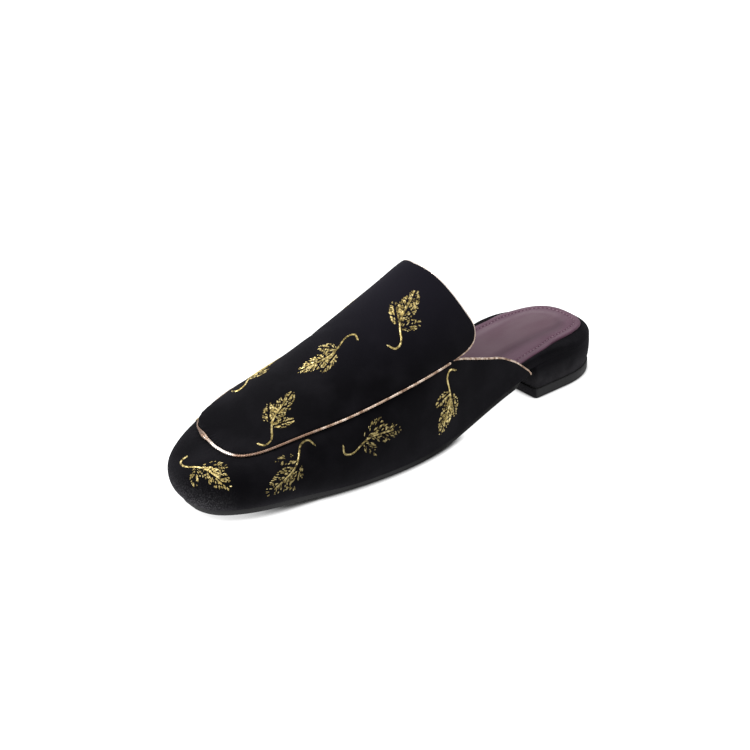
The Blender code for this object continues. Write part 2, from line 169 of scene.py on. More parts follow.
def seamLevel(s):
    return np.where(s < 0, seamOuter(np.abs(s)), seamInner(np.abs(s)))


def ridgeStation(s):
    # sections stand straight behind fanStart and fan round the toe in front of it
    station = (outline(-s)[0] + outline(s)[0]) / 2
    reach = last["fanEnd"] - last["fanStart"]
    q = np.minimum((station - last["fanStart"]) / reach, 1.0)
    share = (ridgeRows["station"][-1] - last["fanStart"]) / reach
    fan = last["fanStart"] + reach * (q - 2 * q ** 2 + q ** 3 + share * (3 * q ** 2 - 2 * q ** 3))
    return np.where(q <= 0, station, fan)


def rowPoint(station, side, height):
    # from the shoe's own stations to the frame's axes, still in millimetres
    y = (last["length"] - last["heelOverhang"]) / 2 - station
    return np.stack(np.broadcast_arrays(side + last["sideShift"], y, height), -1)


def insetOutline(s, distance):
    # the outline moved in by a distance, towards its section's ridge point
    station, side = outline(s)
    top = ridgeStation(s)
    topSide = ridgeSide(top)
    share = distance / np.hypot(top - station, topSide - side)
    return station + (top - station) * share, side + (topSide - side) * share


def folded(s, level):
    # the same point with its level kept below the ridge
    return np.where(level > 1, -s, s), np.where(level > 1, 2 - level, level)


def lastPoint(s, level):
    # s is the signed place; a level past 1 runs down the other side
    s, level = np.broadcast_arrays(np.asarray(s, float), np.asarray(level, float))
    s, level = folded(s, level)
    station, side = outline(s)
    base = featherHeight(station)
    widest = base + sectionRise(station)
    top = ridgeStation(s)
    topSide = ridgeSide(top)
    girth = last["girthLevel"]
    low = np.clip(level / girth, 0.0, 1.0)
    bend = base + last["girthCurve"] * (widest - base)
    lowHeight = base * (1 - low) ** 2 + bend * 2 * low * (1 - low) + widest * low ** 2
    share = sectionTuck(station) * (1 - low) ** 2 / np.hypot(top - station, topSide - side)
    q = np.clip((level - girth) / (1 - girth), 0.0, 1.0)
    first, second, third, fourth = (1 - q) ** 3, 3 * (1 - q) ** 2 * q, 3 * (1 - q) * q * q, q ** 3
    full = sectionFullness(station)
    crest = ridgeHeight(top)
    slope = crest - ridgeHeight(top - 1.0)
    shoulder = crest + slope * (station - top) * full
    height = widest * first + (widest + (crest - widest) * full) * second + shoulder * third + crest * fourth
    height = np.where(level <= girth, lowHeight, height)
    out = (first + second + full * third) * (1 - share)
    return rowPoint(top + (station - top) * out, topSide + (side - topSide) * out, height)


def unit(v):
    return v / np.maximum(np.linalg.norm(v, axis=-1, keepdims=True), 1e-9)


def bell(x, width):
    return np.exp(-(x / width) ** 2)


def lastNormal(s, level):
    step = 0.003
    level = np.minimum(level, np.where(level > 1, 9.0, 0.985))    # never taken across the ridge itself
    ahead = lastPoint(s + step, level) - lastPoint(s - step, level)
    above = lastPoint(s, level + step) - lastPoint(s, np.maximum(level - step, 0.0))
    return unit(np.cross(above, ahead))


def cleaned(points, faces, reach=0.03):
    # welds what meets and drops what has no area
    work = bmesh.new()
    verts = [work.verts.new(p) for p in np.asarray(points).reshape(-1, 3).tolist()]
    for face in faces:
        work.faces.new([verts[i] for i in face])
    bmesh.ops.remove_doubles(work, verts=work.verts, dist=reach)
    work.verts.index_update()
    joined = np.array([v.co[:] for v in work.verts])
    kept = [[v.index for v in f.verts] for f in work.faces]
    work.free()
    return joined, kept


def gridFaces(rows, columns, start=0):
    faces = []
    for i in range(rows - 1):
        for j in range(columns - 1):
            a = start + i * columns + j
            faces.append((a, a + 1, a + columns + 1, a + columns))
    return faces


def ringFaces(low, high):
    # quads between two closed rings of point numbers
    ahead = list(range(1, len(low))) + [0]
    return [(low[i], low[j], high[j], high[i]) for i, j in enumerate(ahead)]


def fanned(faces):
    # the faces cut into triangles
    return np.array([(f[0], f[i], f[i + 1]) for f in faces for i in range(1, len(f) - 1)])


def pointNormals(points, faces):
    normals = np.zeros_like(points)
    corners = fanned(faces)
    here = points[corners[:, 0]]
    area = np.cross(points[corners[:, 1]] - here, points[corners[:, 2]] - here)
    for k in range(3):
        np.add.at(normals, corners[:, k], area)
    return unit(normals)


def rimLoops(faces):
    # open edges, each the way its face runs
    edges = {(f[i], f[(i + 1) % len(f)]) for f in faces for i in range(len(f))}
    ahead = {a: b for a, b in edges if (b, a) not in edges}
    loops = []
    while ahead:
        first, here = min(ahead.items())
        loop = [first]
        del ahead[first]
        while here != first:
            loop.append(here)
            here = ahead.pop(here)
        loops.append(loop)
    return loops


def thicken(points, faces, wall, sink=0.0, rimSteps=4, bulge=0.5):
    # a wall under an open surface, its edges rounded; sink is how far its top face lies below
    normals = pointNormals(points, faces)
    outer = points - normals * sink
    inner = outer - normals * wall
    count = len(points)
    allPoints = [outer, inner]
    allFaces = [tuple(f) for f in faces] + [tuple(v + count for v in reversed(f)) for f in faces]
    start = 2 * count
    for loop in rimLoops(faces):
        ring = np.array(loop)
        here = points[ring]
        along = unit(np.roll(here, -1, 0) - here) + unit(here - np.roll(here, 1, 0))
        away = unit(np.cross(unit(along), normals[ring]))
        levels = [ring]
        for k in range(1, rimSteps):
            turn = math.pi * k / rimSteps
            down = wall / 2 * (1 - math.cos(turn))
            allPoints.append(outer[ring] - normals[ring] * down + away * wall * bulge * math.sin(turn))
            levels.append(np.arange(start, start + len(loop)))
            start += len(loop)
        levels.append(ring + count)
        for high, low in zip(levels, levels[1:]):
            allFaces += ringFaces(low, high)
    return np.concatenate(allPoints), allFaces


def threadMesh(lines, normals, halfWidth, height):
    # many short floats of thread in one mesh, each four-sided and pointed at both ends
    count, steps = lines.shape[:2]
    along = unit(np.gradient(lines, axis=1))
    across = unit(np.cross(normals, along)) * halfWidth
    up = normals * height
    body = np.stack((lines + across, lines + up, lines - across, lines - up), 2)[:, 1:-1]
    points = np.concatenate((body.reshape(count, -1, 3), lines[:, :1], lines[:, -1:]), 1)
    tip = 4 * (steps - 2)
    oneFloat = []
    for j in range(4):
        k = (j + 1) % 4
        oneFloat += [(i + j, i + k, i + 4 + k, i + 4 + j) for i in range(0, tip - 4, 4)]
        oneFloat += [(k, j, tip), (tip - 4 + j, tip - 4 + k, tip + 1)]
    faces = [tuple(v + n * (tip + 2) for v in face) for n in range(count) for face in oneFloat]
    return points.reshape(-1, 3), faces


def makePiece(name, points, faces, finish, slotName, stands=(), sharp=50):
    mesh = bpy.data.meshes.new(name)
    mesh.from_pydata((np.asarray(points) * mm).tolist(), [], [tuple(int(v) for v in f) for f in faces])
    mesh.update()
    mesh.shade_smooth()
    mesh.set_sharp_from_angle(angle=math.radians(sharp))
    mesh.materials.append(finish)
    piece = bpy.data.objects.new(name, mesh)
    bpy.context.scene.collection.objects.link(piece)
    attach(piece, "root")
    if stands:
        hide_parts(*stands)
    return piece


view = {
    "azimuth": 51.48,  # degrees round from the toe towards the outer side
    "elevation": 28.04,
    "roll": -1.757,
    "distance": 903.85,  # from the centre
    "right": -8.078,  # how far the camera is then moved aside and up
    "up": 26.454,
    "lens": 87.80,
    "centre": (0.2, -0.35, 0.0),
}


def makeCamera():
    a = math.radians(view["azimuth"])
    e = math.radians(view["elevation"])
    r = math.radians(view["roll"])
    back = Vector((math.sin(a) * math.cos(e), -math.cos(a) * math.cos(e), math.sin(e)))
    right = Vector((math.cos(a), math.sin(a), 0.0))
    up = back.cross(right)
    place = back * view["distance"] + right * view["right"] + up * view["up"] + Vector(view["centre"])
    turned = (right * math.cos(r) + up * math.sin(r), up * math.cos(r) - right * math.sin(r), back)
    data = bpy.data.cameras.new("view")
    data.lens = view["lens"]
    data.sensor_width = 36.0
    data.clip_start = 0.05
    camera = bpy.data.objects.new("view", data)
    bpy.context.scene.collection.objects.link(camera)
    camera.matrix_world = Matrix.Translation(place * mm) @ Matrix(turned).transposed().to_4x4()
    bpy.context.scene.camera = camera


# how a finish is built: noises in the shoe's own space feed ramps, ranges and bumps
def newFinish(name, values):
    made = bpy.data.materials.new(name)
    made.use_nodes = True
    shader = made.node_tree.nodes["Principled BSDF"]
    for socket, value in values.items():
        shader.inputs[socket].default_value = value
    return made


def addNode(finish, kind, inputs):
    # inputs give each named or numbered socket another node's output or a plain value
    node = finish.node_tree.nodes.new("ShaderNode" + kind)
    for key, value in inputs.items():
        if isinstance(value, bpy.types.NodeSocket):
            finish.node_tree.links.new(value, node.inputs[key])
        else:
            node.inputs[key].default_value = value
    return node


def addNoise(finish, scale, detail=2.0, stretch=(1.0, 1.0, 1.0)):
    place = addNode(finish, "TexCoord", {}).outputs["Object"]
    mapped = addNode(finish, "Mapping", {"Vector": place, "Scale": stretch}).outputs["Vector"]
    return addNode(finish, "TexNoise", {"Vector": mapped, "Scale": scale, "Detail": detail}).outputs["Fac"]


def addAxes(finish):
    place = addNode(finish, "TexCoord", {}).outputs["Object"]
    return addNode(finish, "SeparateXYZ", {0: place}).outputs


def addRange(finish, source, low, high, atLow, atHigh):
    inputs = {"Value": source, "From Min": low, "From Max": high, "To Min": atLow, "To Max": atHigh}
    return addNode(finish, "MapRange", inputs).outputs["Result"]


def addReach(finish, axis, ends, atFirst=0.0, atSecond=1.0):
    # changes between two distances in millimetres
    return addRange(finish, axis, ends[0] * mm, ends[1] * mm, atFirst, atSecond)


def addSpread(finish, noise, low, high):
    # a noise lies mostly between 0.3 and 0.7
    return addRange(finish, noise, 0.3, 0.7, low, high)


def addRamp(finish, source, places, colours):
    node = addNode(finish, "ValToRGB", {"Fac": source})
    elements = node.color_ramp.elements
    while len(elements) < len(places):
        elements.new(0.5)
    for element, place, colour in zip(elements, places, colours):
        element.position = place
        element.color = (*colour, 1.0)
    return node.outputs["Color"]


def addMix(finish, factor, first, second):
    # first and second are sockets or plain colours
    node = addNode(finish, "Mix", {"Factor": factor})
    node.data_type = "RGBA"
    colours = [socket for socket in node.inputs if socket.type == "RGBA"]
    for socket, value in zip(colours, (first, second)):
        if isinstance(value, tuple):
            socket.default_value = (*value, 1.0)
        else:
            finish.node_tree.links.new(value, socket)
    return next(socket for socket in node.outputs if socket.type == "RGBA")


def addMath(finish, operation, first, second=0.0):
    node = addNode(finish, "Math", {0: first, 1: second})
    node.operation = operation
    return node.outputs[0]


def addProduct(finish, first, *others):
    for other in others:
        first = addMath(finish, "MULTIPLY", first, other)
    return first


def addDistance(finish, axis, place):
    # how far from a place in millimetres
    return addMath(finish, "ABSOLUTE", addMath(finish, "SUBTRACT", axis, place * mm))


def addGrain(finish, scale, height, detail=2.0, strength=1.0):
    inputs = {"Strength": strength, "Distance": height, "Height": addNoise(finish, scale, detail)}
    return addNode(finish, "Bump", inputs).outputs["Normal"]


def stationY(station):
    # where a station lies along the frame's Y, in millimetres
    return float(rowPoint(station, 0.0, 0.0)[1])


def setShader(finish, **sockets):
    shader = finish.node_tree.nodes["Principled BSDF"]
    names = {"colour": "Base Color", "roughness": "Roughness", "normal": "Normal", "metallic": "Metallic"}
    for key, source in sockets.items():
        finish.node_tree.links.new(source, shader.inputs[names[key]])


velvetLook = {
    "deep": (0.0006, 0.0005, 0.0008),
    "brushed": (0.0036, 0.0033, 0.0042),
    "brushScale": 60.0,
    "brushSpan": (0.42, 0.74),
    "paintedTopSheen": (0.0048, 0.0043, 0.0068),
    "paintedTopSheenHeights": (48.0, 76.0),  # between which a painted sheen makes the instep paler
    "dustAndSheen": (0.115, 0.112, 0.120),
    "dustAndSheenHeights": (8.0, 26.0),  # where the toe's dust and painted sheen are strongest, and where they end
    "dustAndSheenStations": (228.0, 243.0),  # where it begins, and is thickest
    "dustAndSheenLean": 0.25,  # its edge leans back towards the inner side
    "dustAndSheenScale": 1900.0,
    "dustAndSheenSpan": (0.46, 0.72),
    "heelLowTone": (0.0160, 0.0154, 0.0166),
    "heelLowHeights": (16.5, 8.0),  # where the heel begins to turn paler towards the bottom, and is palest
    "heelLowBehind": (55.0, 65.0),  # the same along Y
    "heelLowScale": 170.0,
    "heelLowLeast": 0.35,
    "pileScale": 5200.0,
    "pileHeight": 0.00011,
    "sheen": 0.028,
    "sheenRoughness": 0.62,
    "sheenTint": (0.82, 0.80, 0.92, 1.0),
}


def makeVelvet():
    look = velvetLook
    finish = newFinish("blackVelvet", {
        "Roughness": 1.0,
        "Specular IOR Level": 0.02,
        "Sheen Weight": look["sheen"],
        "Sheen Roughness": look["sheenRoughness"],
        "Sheen Tint": look["sheenTint"],
    })
    axes = addAxes(finish)
    brushed = addNoise(finish, look["brushScale"], detail=3.0)
    ground = addRamp(finish, brushed, look["brushSpan"], (look["deep"], look["brushed"]))
    # painted sheen: the velvet turns paler high on the instep
    ground = addMix(finish, addReach(finish, axes["Z"], look["paintedTopSheenHeights"]), ground, look["paintedTopSheen"])
    # dust and painted sheen: pale specks low on the toe, thickest at its front
    low = addReach(finish, axes["Z"], look["dustAndSheenHeights"], 1.0, 0.0)
    leaning = addMath(finish, "ADD", axes["Y"], addMath(finish, "MULTIPLY", axes["X"], look["dustAndSheenLean"]))
    front = addReach(finish, leaning, [stationY(station) for station in look["dustAndSheenStations"]])
    specks = addRange(finish, addNoise(finish, look["dustAndSheenScale"]), *look["dustAndSheenSpan"], 0.0, 1.0)
    ground = addMix(finish, addProduct(finish, low, low, front, specks), ground, look["dustAndSheen"])
    # the heel's velvet turns paler in patches towards its bottom
    patches = addSpread(finish, addNoise(finish, look["heelLowScale"], detail=3.0), look["heelLowLeast"], 1.0)
    heelLow = addProduct(finish, addReach(finish, axes["Z"], look["heelLowHeights"]),
                         addReach(finish, axes["Y"], look["heelLowBehind"]), patches)
    setShader(finish, colour=addMix(finish, heelLow, ground, look["heelLowTone"]),
              normal=addGrain(finish, look["pileScale"], look["pileHeight"]))
    return finish


pipingLook = {
    "shade": (0.16, 0.095, 0.065),
    "body": (0.34, 0.24, 0.175),
    "light": (0.58, 0.475, 0.40),
    "span": (0.34, 0.48, 0.64),
    "wearScale": 380.0,
    "roughness": (0.38, 0.20),
    "grainScale": 4200.0,
    "grainHeight": 0.00006,
    "metallic": 0.95,
    "outerShadeAt": 212.0,  # station where its outer run has the darkest painted shade
    "outerShadeReach": (17.0, 27.0),  # how far that goes, fully and at all
    "outerShadeSide": (9.0, 13.0),  # and from which side on
    "paintedOuterShade": 0.85,
    "innerShadeSide": (-7.0, -14.0),  # past the inner toe corner it gets painted shade as well
    "innerShadeAlong": (-88.0, -96.0),
    "innerShade": 0.8,
    "paintedHighlight": (0.84, 0.78, 0.73),
    "highlightSide": 3.0,  # middle of the painted highlight across the toe
    "highlightReach": (6.0, 11.0),
    "highlightAlong": (-101.0, -102.5),
    "highlightToe": 0.8,
    "highlightHeights": (50.0, 66.0),  # high round the throat a painted highlight brightens it again
    "highlightHigh": 0.6,
}


def makePipingMetal():
    look = pipingLook
    finish = newFinish("champagnePiping", {"Metallic": look["metallic"], "Specular IOR Level": 0.5})
    axes = addAxes(finish)
    worn = addNoise(finish, look["wearScale"], detail=3.0)
    # painted shade: the piping is darker along its outer run
    outerShadeDistance = addDistance(finish, axes["Y"], stationY(look["outerShadeAt"]))
    paintedOuterShade = addProduct(finish, addReach(finish, outerShadeDistance, look["outerShadeReach"], look["paintedOuterShade"], 0.0),
                        addReach(finish, axes["X"], look["outerShadeSide"]))
    # painted shade past the inner toe corner
    inner = addProduct(finish, addReach(finish, axes["X"], look["innerShadeSide"], 0.0, look["innerShade"]),
                       addReach(finish, axes["Y"], look["innerShadeAlong"]))
    # painted highlight across the toe
    aside = addDistance(finish, axes["X"], look["highlightSide"])
    paintedHighlight = addProduct(finish, addReach(finish, aside, look["highlightReach"], look["highlightToe"], 0.0),
                       addReach(finish, axes["Y"], look["highlightAlong"]))
    # painted highlight high round the throat
    high = addReach(finish, axes["Z"], look["highlightHeights"], 0.0, look["highlightHigh"])
    colour = addRamp(finish, worn, look["span"], (look["shade"], look["body"], look["light"]))
    colour = addMix(finish, addMath(finish, "MAXIMUM", paintedHighlight, high), colour, look["paintedHighlight"])
    # both painted shades darken the piping's colour towards its shade tone
    setShader(finish,
              colour=addMix(finish, addMath(finish, "MAXIMUM", paintedOuterShade, inner), colour, look["shade"]),
              roughness=addSpread(finish, worn, *look["roughness"]),
              normal=addGrain(finish, look["grainScale"], look["grainHeight"]))
    return finish


insoleLook = {
    "edge": (0.074, 0.034, 0.054),
    "stain": (0.060, 0.028, 0.044),
    "stainSpan": (0.35, 0.7),
    "stainShare": 0.45,
    "worn": (0.069, 0.035, 0.049),
    "padSide": -0.5,  # middle line of the pad the foot has worn
    "padEnd": 26.0,  # station where its round heel end begins
    "padHalf": 12.5,
    "padFade": (1.1, 0.6),  # its edge, in shares of its half width
    "paintedPadHighlight": (0.094, 0.058, 0.074),
    "padHighlightReach": (0.0, 2.8),  # from the pad's edge
    "padHighlightSide": (8.0, -4.0),  # mostly on the inner side
    "shaded": (0.041, 0.018, 0.029),
    "shadedAt": 0.86,  # just inside the pad's edge, in shares of its half width
    "shadedReach": (0.0, 4.5),
    "shadedSide": (1.0, 7.0),  # on the outer side
    "strength": 0.8,
    "cloudScale": 90.0,
    "cloudStretch": (1.6, 0.5, 1.0),
    "roughness": (0.40, 0.56),
    "grainScale": 1500.0,
    "grainHeight": 0.00007,
    "grainStrength": 0.7,
}


def makeInsoleLeather():
    look = insoleLook
    finish = newFinish("aubergineLeather", {"Specular IOR Level": 0.10})
    axes = addAxes(finish)
    aside = addMath(finish, "SUBTRACT", axes["X"], look["padSide"] * mm)
    beyond = addMath(finish, "SUBTRACT", axes["Y"], stationY(look["padEnd"]) * mm)
    beyond = addMath(finish, "MAXIMUM", beyond)
    reach = addMath(finish, "ADD", *(addProduct(finish, value, value) for value in (aside, beyond)))
    reach = addMath(finish, "SQRT", reach)
    half = look["padHalf"]
    away = addDistance(finish, reach, half)
    # painted highlight along the worn pad's edge, mostly on the inner side; painted shade just inside that
    # edge on the outer side
    lit = addProduct(finish, addReach(finish, away, look["padHighlightReach"], look["strength"], 0.0),
                     addReach(finish, axes["X"], look["padHighlightSide"]))
    away = addDistance(finish, reach, half * look["shadedAt"])
    dim = addProduct(finish, addReach(finish, away, look["shadedReach"], look["strength"], 0.0),
                     addReach(finish, axes["X"], look["shadedSide"]))
    cloud = addNoise(finish, look["cloudScale"], 4.0, look["cloudStretch"])
    stained = addRange(finish, cloud, *look["stainSpan"], 0.0, look["stainShare"])
    leather = addMix(finish, stained, look["edge"], look["stain"])
    inPad = addReach(finish, reach, [half * share for share in look["padFade"]])
    leather = addMix(finish, inPad, leather, look["worn"])
    leather = addMix(finish, dim, leather, look["shaded"])
    setShader(finish,
              colour=addMix(finish, lit, leather, look["paintedPadHighlight"]),
              roughness=addSpread(finish, cloud, *look["roughness"]),
              normal=addGrain(finish, look["grainScale"], look["grainHeight"], 5.0, look["grainStrength"]))
    return finish


goldLook = {
    "dark": (0.057, 0.041, 0.016),
    "gold": (0.315, 0.240, 0.079),
    "bright": (0.69, 0.572, 0.270),
    "span": (0.32, 0.47, 0.66),
    "mottle": 650.0,
    "metallic": 0.8,
    "roughness": (0.48, 0.32),
    "twistScale": 5200.0,
    "twistHeight": 0.00005,
    "shadeBrightness": 0.52,  # brightness of the dimmer gold, a painted shade on the lower sprigs
}


def makeGoldThread(name, brightness=1.0):
    look = goldLook
    finish = newFinish(name, {"Metallic": look["metallic"], "Specular IOR Level": 0.5})
    mottle = addNoise(finish, look["mottle"])
    tones = [tuple(part * brightness for part in look[key]) for key in ("dark", "gold", "bright")]
    setShader(finish,
              colour=addRamp(finish, mottle, look["span"], tones),
              roughness=addSpread(finish, mottle, *look["roughness"]),
              normal=addGrain(finish, look["twistScale"], look["twistHeight"], 1.0))
    return finish


plainLooks = {
    # two colours and their noise scale; roughness from and to; gloss; grain scale and height
    "insoleThread": ((0.150, 0.090, 0.118), (0.215, 0.145, 0.178), 600.0,
                     (0.55, 0.7), 0.15, (5000.0, 0.00004)),
    "liningLeather": ((0.0090, 0.0075, 0.0100), (0.0180, 0.0155, 0.0190), 110.0,
                      (0.42, 0.58), 0.2, (1700.0, 0.00009)),
    "liftRubber": ((0.0072, 0.0072, 0.0076), (0.0120, 0.0120, 0.0127), 160.0,
                   (0.6, 0.8), 0.2, (1500.0, 0.00010)),
    "soleRubber": ((0.0028, 0.0028, 0.0030), (0.031, 0.031, 0.032), 140.0,
                   (0.6, 0.8), 0.1, (1200.0, 0.00012)),
}
plainSpan = (0.35, 0.65)
soleFrontTone = {
    "stations": (127.0, 154.0),  # where the sole begins to turn paler towards the front, and is palest
    "least": 0.8,
}


def makePlainLook(name):
    first, second, scale, roughness, gloss, grain = plainLooks[name]
    finish = newFinish(name, {"Specular IOR Level": gloss})
    cloud = addNoise(finish, scale, detail=4.0)
    if name == "soleRubber":
        # the outsole turns paler in patches towards its front
        ends = [stationY(station) for station in soleFrontTone["stations"]]
        front = addReach(finish, addAxes(finish)["Y"], ends)
        paledFront = addProduct(finish, front, addSpread(finish, cloud, soleFrontTone["least"], 1.0))
        colour = addMix(finish, paledFront, first, second)
    else:
        colour = addRamp(finish, cloud, plainSpan, (first, second))
    setShader(finish, colour=colour, roughness=addSpread(finish, cloud, *roughness),
              normal=addGrain(finish, *grain, 3.0))
    return finish


studio = {
    "worldStrength": 1.0,
    "paper": (0.26, 0.26, 0.26),
    "paperGlow": 1.0,
    "contactReach": 5.2,  # how near the shoe the lit paper dims
    "contactSpan": (0.33, 0.73),
    "floorSize": 12.0,
}
softLights = {
    # name: place and aim in metres, size, watts
    "overhead": ((0.1, 0.15, 1.3), (0, 0, 0.03), 1.4, 11.0),
    "toeFront": ((-0.3, -1.1, 0.8), (0, -0.05, 0.03), 0.6, 15.0),
    "behind": ((-0.75, 0.65, 0.75), (0, 0.03, 0.05), 0.8, 3.5),
}


def makeStudio():
    half = studio["floorSize"] / 2
    corners = [(-half, -half, 0), (half, -half, 0), (half, half, 0), (-half, half, 0)]
    mesh = bpy.data.meshes.new("floor")
    mesh.from_pydata(corners, [], [(0, 1, 2, 3)])
    paper = newFinish("floorPaper", {
        "Base Color": (*studio["paper"], 1.0),
        "Roughness": 1.0,
        "Specular IOR Level": 0.0,
        "Emission Color": (1.0, 1.0, 1.0, 1.0),
    })
    near = addNode(paper, "AmbientOcclusion", {"Distance": studio["contactReach"] * mm})
    glow = addRange(paper, near.outputs["AO"], *studio["contactSpan"], 0.0, studio["paperGlow"])
    paper.node_tree.links.new(glow, paper.node_tree.nodes["Principled BSDF"].inputs["Emission Strength"])
    mesh.materials.append(paper)
    floor = bpy.data.objects.new("floor", mesh)
    bpy.context.scene.collection.objects.link(floor)
    world = bpy.data.worlds.new("softbox")
    bpy.context.scene.world = world
    world.use_nodes = True
    background = world.node_tree.nodes["Background"]
    background.inputs["Color"].default_value = (1.0, 1.0, 1.0, 1.0)
    background.inputs["Strength"].default_value = studio["worldStrength"]
    for name, (place, aim, size, watts) in softLights.items():
        data = bpy.data.lights.new(name, "AREA")
        data.shape = "DISK"
        data.size = size
        data.energy = watts
        light = bpy.data.objects.new(name, data)
        bpy.context.scene.collection.objects.link(light)
        light.location = place
        light.rotation_euler = (Vector(aim) - Vector(place)).to_track_quat("-Z", "Y").to_euler()
    bpy.context.scene.view_settings.view_transform = "Standard"


makeCamera()
makeStudio()
print("camera and studio are in place")

# velvet quarter and apron over a leather lining
upper = {
    "velvetWall": 1.0,
    "liningWall": 0.8,
    "liningGap": 0.04,
    "wallBulge": 0.3,  # how far a wall's rounded edge stands out
    "quarterGrid": (140, 46),
    "apronGrid": (200, 64),
    "quarterLiningGrid": (80, 30),
    "apronLiningGrid": (110, 44),
    "tipStart": 0.865,  # past this place the quarter's columns stand closer
    "cornerSteps": 24,
    "apronRise": 0.30,  # how proud the apron stands beside its seam
    "toeRise": 2.0,  # and beside its inner toe corner
    "toeDip": 0.35,  # where the quarter sinks that much more
    "toeRisePlace": 0.19,
    "toeRiseWidth": 0.06,
    "apronRound": 1.7,  # width of its rounded shoulder
    "apronFade": 9.0,  # where the swelling has gone again
    "quarterDip": 0.8,  # how far the quarter sinks beside the seam
    "quarterFade": 5.0,
    "seamDepth": 0.4,
    "seamWidth": 0.9,
    "puckerDepth": 0.10,  # gathers that the toe seam's stitches draw
    "puckerPitch": 5.6,
    "puckerReach": 3.2,
    "puckerEnd": (0.2, 0.34),
    "reliefEnd": (0.08, -0.01),  # how far before the corner the seam's relief fades out
}
crease = {
    "bow": 1.6,
    "rim": 1.1,
    "fade": 6.0,
}
creaseRows = [
    # station and side at both ends, depth and width: soft flex lines over the ball and the arch
    ((160, -34), (153, -12), 0.30, 3.0),
    ((163, 34), (154, 14), 0.28, 3.2),
    ((148, -8), (146, 10), 0.16, 3.5),
    ((92, 33), (108, 30), 0.20, 3.0),
    ((96, -31), (110, -29), 0.20, 3.0),
]


def seamGap(s, level):
    # distance above the apron seam along the section, minus on the quarter
    side, low = folded(s, level)
    step = 0.01
    rate = np.linalg.norm(lastPoint(side, low) - lastPoint(side, low - step), axis=-1) / step
    return (low - seamLevel(side)) * rate, side


def creased(points):
    # a soft trough with a ridge on both sides of it, along each crease
    plan = points[..., :2]
    raised = np.zeros(points.shape[:-1])
    for first, second, depth, width in creaseRows:
        start = rowPoint(*first, 0.0)[:2]
        run = rowPoint(*second, 0.0)[:2] - start
        length = np.linalg.norm(run)
        run = run / length
        ahead = np.sum((plan - start) * run, -1)
        bow = crease["bow"] * (1 - (2 * ahead / length - 1) ** 2)
        aside = ((plan - start) @ np.array((-run[1], run[0])) - bow) / width
        shape = (crease["rim"] * aside ** 2 - 1.0) * bell(aside, 1.0)
        for inside in (ahead, length - ahead):
            shape = shape * smoothStep(inside, -crease["fade"], crease["fade"])
        raised += depth * shape
    return raised


def relief(s, level, onApron):
    # swelling of the apron, valley and gathers of its seam, and creases, along the normal
    gap, side = seamGap(s, level)
    near = np.abs(gap)
    place = np.abs(side)
    atToe = bell(side - upper["toeRisePlace"], upper["toeRiseWidth"])
    rise = upper["apronRise"] + (upper["toeRise"] - upper["apronRise"]) * atToe
    swell = rise * smoothStep(near, 0.0, upper["apronRound"]) * bell(near, upper["apronFade"])
    dip = -(upper["quarterDip"] + upper["toeDip"] * atToe) * bell(near, upper["quarterFade"])
    valley = -upper["seamDepth"] * bell(near, upper["seamWidth"])
    run = side * last["length"] * 2 * math.pi / upper["puckerPitch"]
    wave = np.sin(run) + 0.6 * np.sin(0.62 * run + 1.3)    # two pitches, so that no gather repeats
    gather = upper["puckerDepth"] * wave * bell(near, upper["puckerReach"])
    gather = gather * (1 - smoothStep(place, *upper["puckerEnd"]))
    fade = 1 - smoothStep(place, *(cornerAt - before for before in upper["reliefEnd"]))
    return (np.where(onApron, swell, dip) + valley + gather) * fade + creased(lastPoint(s, level))


def skinPoint(s, level, onApron):
    return lastPoint(s, level) + lastNormal(s, level) * relief(s, level, onApron)[..., None]


def edgeCurve(rows, count):
    # evenly spaced (place, level) points on a smooth curve through the rows of a table
    places = np.array(rows["place"])
    levels = np.array(rows["level"])
    chord = chordLength(np.stack((places, levels / 2), -1))    # a level counts half as far as a place
    steps = np.linspace(0.0, chord[-1], count + 1)
    return naturalSpline(chord, places)(steps), naturalSpline(chord, levels)(steps)


def quarterSurface(size, pointAt):
    # from one wing tip round the toe to the other, its columns closer at the tips
    columns, rows = size
    tip = wingRows["place"][-1]
    start = upper["tipStart"]
    places = np.concatenate((np.linspace(tip, start, columns // 8, endpoint=False),
                             np.linspace(start, cornerAt, columns // 4, endpoint=False),
                             np.linspace(cornerAt, 0.0, columns)))
    s = np.concatenate((-places, places[-2::-1]))
    top = np.where(np.abs(s) > cornerAt, wingLevel(np.abs(s)), seamLevel(s))
    share = np.linspace(0.0, 1.0, rows)
    s = np.repeat(s[:, None], rows, 1)
    return cleaned(pointAt(s, top[:, None] * share), gridFaces(*s.shape))


def apronHalf(sign, columns, rows):
    # places and levels of one half of the apron, from the throat edge to the toe
    steps = upper["cornerSteps"]
    cornerPlace, cornerLevel = edgeCurve(cornerRows, steps)
    place = np.concatenate((cornerPlace[:0:-1], np.linspace(cornerAt, 0.0, columns)))
    seam = seamOuter if sign < 0 else seamInner
    level = np.concatenate((cornerLevel[:0:-1], seam(place[steps:])))
    throatPlace, throatLevel = edgeCurve(throatRows, rows - 1)
    q = np.linspace(0.0, 1.0, rows)[None, :]
    share = np.linspace(0.0, 1.0, len(place))[:, None]
    pull = 1 - smoothStep(share, 0.0, 0.5)    # the throat's own shape dies away towards the toe
    beyond = (throatPlace - place[0] * (1 - q) - throatPlace[-1] * q) * pull
    above = (throatLevel - level[0] * (1 - q) - q) * pull
    place = place[:, None] * (1 - q) + throatPlace[-1] * (1 - share) * q + beyond
    return place, level[:, None] * (1 - q) + q + above


def apronSurface(size, pointAt):
    points = []
    faces = []
    for sign in (-1, 1):
        place, level = (grid[::-sign] for grid in apronHalf(sign, *size))
        faces += gridFaces(*place.shape, start=sum(len(p) for p in points))
        points.append(pointAt(sign * place, level).reshape(-1, 3))
    return cleaned(np.concatenate(points), faces)


